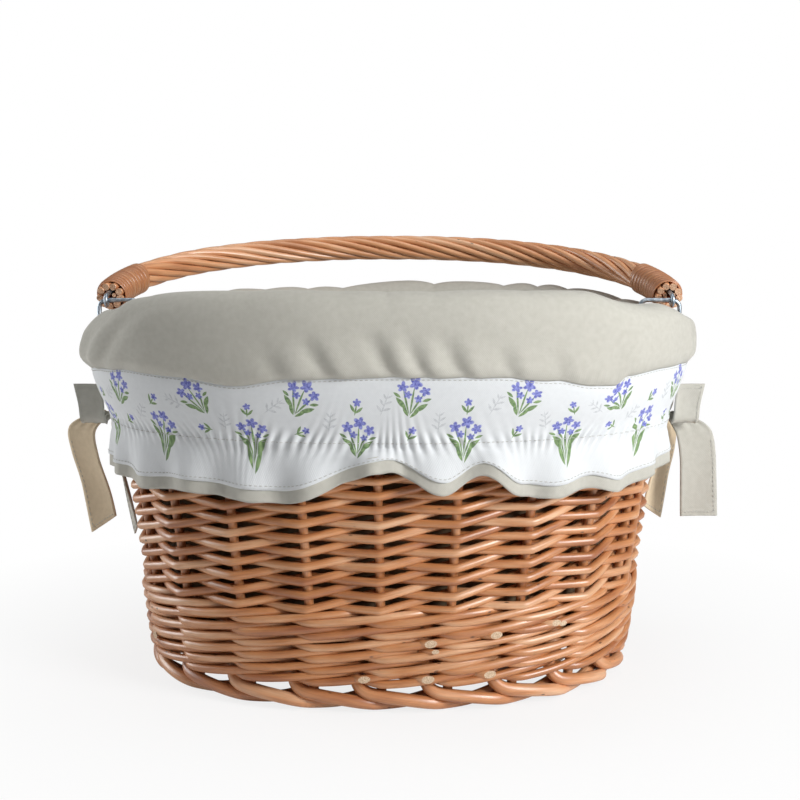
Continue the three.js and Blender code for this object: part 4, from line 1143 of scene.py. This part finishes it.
def makeKnot(name, side):
    bm = bmesh.new()
    bmesh.ops.create_uvsphere(bm, u_segments=64, v_segments=40, radius=1)
    halfX, halfY, halfZ = knots["half"]
    for vert in bm.verts:
        # one wrap across the middle, and folds drawn in under it from both ends
        x, y, z = vert.co
        across = y + knots["wrapLean"] * z
        wrap = 1 - float(smooth(abs(across), *knots["wrapEdge"]))
        creases = abs(math.sin(9 * across)) ** 0.5 - 0.6
        folds = abs(math.sin(3.5 * math.atan2(z, x) + 1.5 * y)) ** 0.6 - 0.6
        swell = wrap * (knots["wrapRise"] + knots["creaseDepth"] * creases)
        swell += (1 - wrap) * knots["foldDepth"] * folds * (1 - y * y)
        x, y, z = vert.co * (1 + swell)
        vert.co = Vector((side * knotX + x * halfX, y * halfY, knotHeight + z * halfZ)) * mm
    mapKnot(bm)
    knot = addMesh("knot" + name.title(), bm)
    dress(knot, "basket", "beige_cloth", ["tie_knot_" + name], canvas)
    return knot


# the left front end and the right back end take the warmer, paler copy of the canvas: painted light shining
# through the cloth
def makeTies():
    for name, side, frontCloth, backCloth, frontSlant in (
            ("left", -1, backlitCanvas, canvas, ties["frontSlant"][0]),
            ("right", 1, canvas, backlitCanvas, ties["frontSlant"][1])):
        title = name.title()
        knot = makeKnot(name, side)
        makeRibbon("flap" + title, "tie_flap_" + name, side, ties["flapPath"], ties["flapTurn"],
                   ties["flapWidth"], canvas)
        makeRibbon("tail" + title, "tie_tail_front_" + name, side, ties[name + "Path"],
                   ties[name + "Turn"], ties["ribbon"], frontCloth, frontSlant)
        makeRibbon("backTail" + title, "tie_tail_back_" + name, side, ties[name + "BackPath"],
                   ties[name + "BackTurn"], ties["ribbon"], backCloth, ties["backSlant"])
    print("ties done")


makeTies()
dress(makeRods("stitches", stitchRows, 6), "basket", "print_cloth", [], thread, thread)
print("stitches:", len(stitchRows))


# roped handle, laid back over the rear cuff; laid and gap give the ring that the strands lie in

handle = dict(halfWidth=187, reach=152, power=2.2, tilt=12.5, strands=9, diameter=4.5, spread=(0.94, 1.04),
              laid=4.4, gap=0.3, turns=3, wobble=0.12, swell=0.03, cutBack=9, points=260,
              fillers=4, filler=2.7, core=2.8, corePoints=200, eye=3.35, eyePoints=28)
skein = dict(turns=10.5, perTurn=40, section=12, pitch=4.53, width=4.5, thickness=1.3, start=3.2,
             tuckDepth=1.6, tuckTurns=0.3, tuckWidth=0.4)
staple = dict(diameter=3, gap=0.3, inward=8, outward=15, corner=5, cornerPoints=9)
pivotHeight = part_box("pivot_staple_left")[1].z / mm - staple["diameter"] / 2
archShape = (handle["halfWidth"], handle["reach"], handle["power"])
archAngles = np.linspace(math.pi, 0, 2001)
archLengths = runningLength(ovalPoint(archAngles, *archShape))
archTotal = archLengths[-1]
ringRadius = (handle["laid"] + handle["gap"]) / (2 * math.sin(math.pi / handle["strands"]))
coreRing = ringRadius - handle["laid"] / 2 - handle["gap"] - handle["core"] / 2


def standHandle(points):
    tilt = math.radians(handle["tilt"])
    x, y, z = np.moveaxis(np.asarray(points, float), -1, 0)
    return np.stack([x, y * math.cos(tilt) - z * math.sin(tilt),
                     y * math.sin(tilt) + z * math.cos(tilt) + pivotHeight], -1) * mm


# points in metres on the handle, from the length along its arch and a place in its round section
def onHandle(length, radius, turn):
    length, radius, turn = np.broadcast_arrays(*(np.asarray(v, float) for v in (length, radius, turn)))
    flat = ovalPoint(np.interp(length, archLengths, archAngles), *archShape)
    flat = flat + ovalNormal(flat, *archShape) * (radius * np.cos(turn))[..., None]
    return standHandle(np.concatenate([flat, (radius * np.sin(turn))[..., None]], -1))


# lengths along the rope from cut end to cut end, and its lay there
def ropeLay(share):
    length = handle["cutBack"] + (archTotal - 2 * handle["cutBack"]) * share
    return length, np.pi / 2 + 2 * np.pi * handle["turns"] * share


def makeStrands():
    share = np.linspace(0, 1, handle["points"])
    length, turn = ropeLay(share)
    rods = []
    for k in range(handle["strands"]):
        wobble = handle["wobble"] * np.sin(share * 40 + k * 2.1)
        place = turn + 2 * np.pi * (k + 0.5) / handle["strands"] + wobble * 0.2
        size = handle["diameter"] / 2 * rng.uniform(*handle["spread"]) * mm
        radius = size * (1 + handle["swell"] * np.sin(share * 25 + k))
        rods.append((onHandle(length, ringRadius + wobble, place), radius))
    # thinner rods beside the core wire, seen at the cut ends
    for k in range(handle["fillers"]):
        place = turn + 2 * np.pi * (k + 1) / (handle["fillers"] + 1)
        rods.append((onHandle(length, coreRing, place), handle["filler"] / 2 * mm))
    nodes = [f"handle_strand_{k + 1}" for k in range(handle["strands"])]
    dress(makeRods("handleStrands", rods, 12), "handle", "willow", nodes, handleWillowLit, handleCut)
    print("handle strands:", len(rods))


# a flat skein wound round the strands, its two ends tucked in
def makeBinding(name, fromRight):
    turns = skein["turns"]
    inner = ringRadius + handle["laid"] / 2 + handle["gap"] + skein["thickness"] / 2

    def place(u, v):
        side, top = np.cos(2 * np.pi * v), np.sin(2 * np.pi * v)
        tuck = smooth(np.minimum(u, 1 - u) * turns, 0, skein["tuckTurns"])
        narrow = skein["tuckWidth"] + (1 - skein["tuckWidth"]) * tuck
        aside = skein["width"] / 2 * np.sign(side) * np.abs(side) ** 0.7 * narrow
        high = skein["thickness"] / 2 * np.sign(top) * np.abs(top) ** 0.8
        length = handle["cutBack"] + skein["start"] + skein["pitch"] * turns * u + aside
        radius = inner + high - skein["tuckDepth"] * (1 - tuck)
        return onHandle(archTotal - length if fromRight else length, radius, 2 * np.pi * turns * u)

    size = (2 * math.pi * (ringRadius + 3) * turns * mm, 2 * skein["width"] * mm)
    columns = int(turns * skein["perTurn"])
    obj = makeCloth("binding" + name.title(), columns, skein["section"], size, place, joined=True)
    tones = obj.data.attributes.new("tone", "FLOAT", "POINT").data
    spaces = obj.data.attributes.new("rodSpace", "FLOAT_VECTOR", "POINT").data
    for loop, mapped in zip(obj.data.loops, obj.data.uv_layers[0].uv):
        tones[loop.vertex_index].value = 0.5
        spaces[loop.vertex_index].vector = (*mapped.vector, 0)
    dress(obj, "handle", "skein", ["binding_" + name], skeinWillow)
    print("binding done:", name)


makeStrands()
makeBinding("left", False)
makeBinding("right", True)


# a wire staple round the rim at each side
def makeStaples():
    radius, corner = staple["diameter"] / 2, staple["corner"]
    low = rimLow - staple["gap"] - radius
    inLeg = wall["rimHalf"] - staple["inward"] - staple["gap"] - staple["diameter"]
    outLeg = wall["rimHalf"] + staple["outward"]
    corners = ((outLeg, pivotHeight), (inLeg, pivotHeight), (inLeg, low), (outLeg, low))
    for name, side in (("left", -1), ("right", 1)):
        loop = []
        for k, (x, z) in enumerate(corners):
            centreX = x - corner * np.sign(x - (inLeg + outLeg) / 2)
            centreZ = z - corner * np.sign(z - (pivotHeight + low) / 2)
            bend = np.linspace(0, np.pi / 2, staple["cornerPoints"]) + k * np.pi / 2
            x, z = centreX + corner * np.cos(bend), centreZ + corner * np.sin(bend)
            loop.append(np.c_[side * x, 0 * bend, z] * mm)
        obj = makeRods("staple" + name.title(), [(np.concatenate(loop), radius * mm)], 14, closed=True)
        dress(obj, "basket", "wire", ["pivot_staple_" + name], wire, wire)


# the core wire with an eye at each end
def makeCore():
    def eye(x, start, stop):
        bend = np.linspace(start, stop, handle["eyePoints"])
        y, z = handle["eye"] * np.cos(bend), handle["eye"] * np.sin(bend)
        return standHandle(np.c_[np.full_like(bend, x), y, z])

    length, turn = ropeLay(np.linspace(0, 1, handle["corePoints"]))
    x, y, z = handle["halfWidth"], handle["cutBack"] / 2, (handle["eye"] + coreRing) / 2
    path = np.concatenate([
        eye(-x, 2 * np.pi, np.pi / 2), standHandle([(-x, y, z)]), onHandle(length, coreRing, turn),
        standHandle([(x, y, z)]), eye(x, np.pi / 2, 2 * np.pi)])
    obj = makeRods("coreWire", [(path, handle["core"] / 2 * mm)], 12)
    dress(obj, "handle", "wire", ["handle_core_wire"], wire, wire)
    print("wires done")


makeStaples()
makeCore()
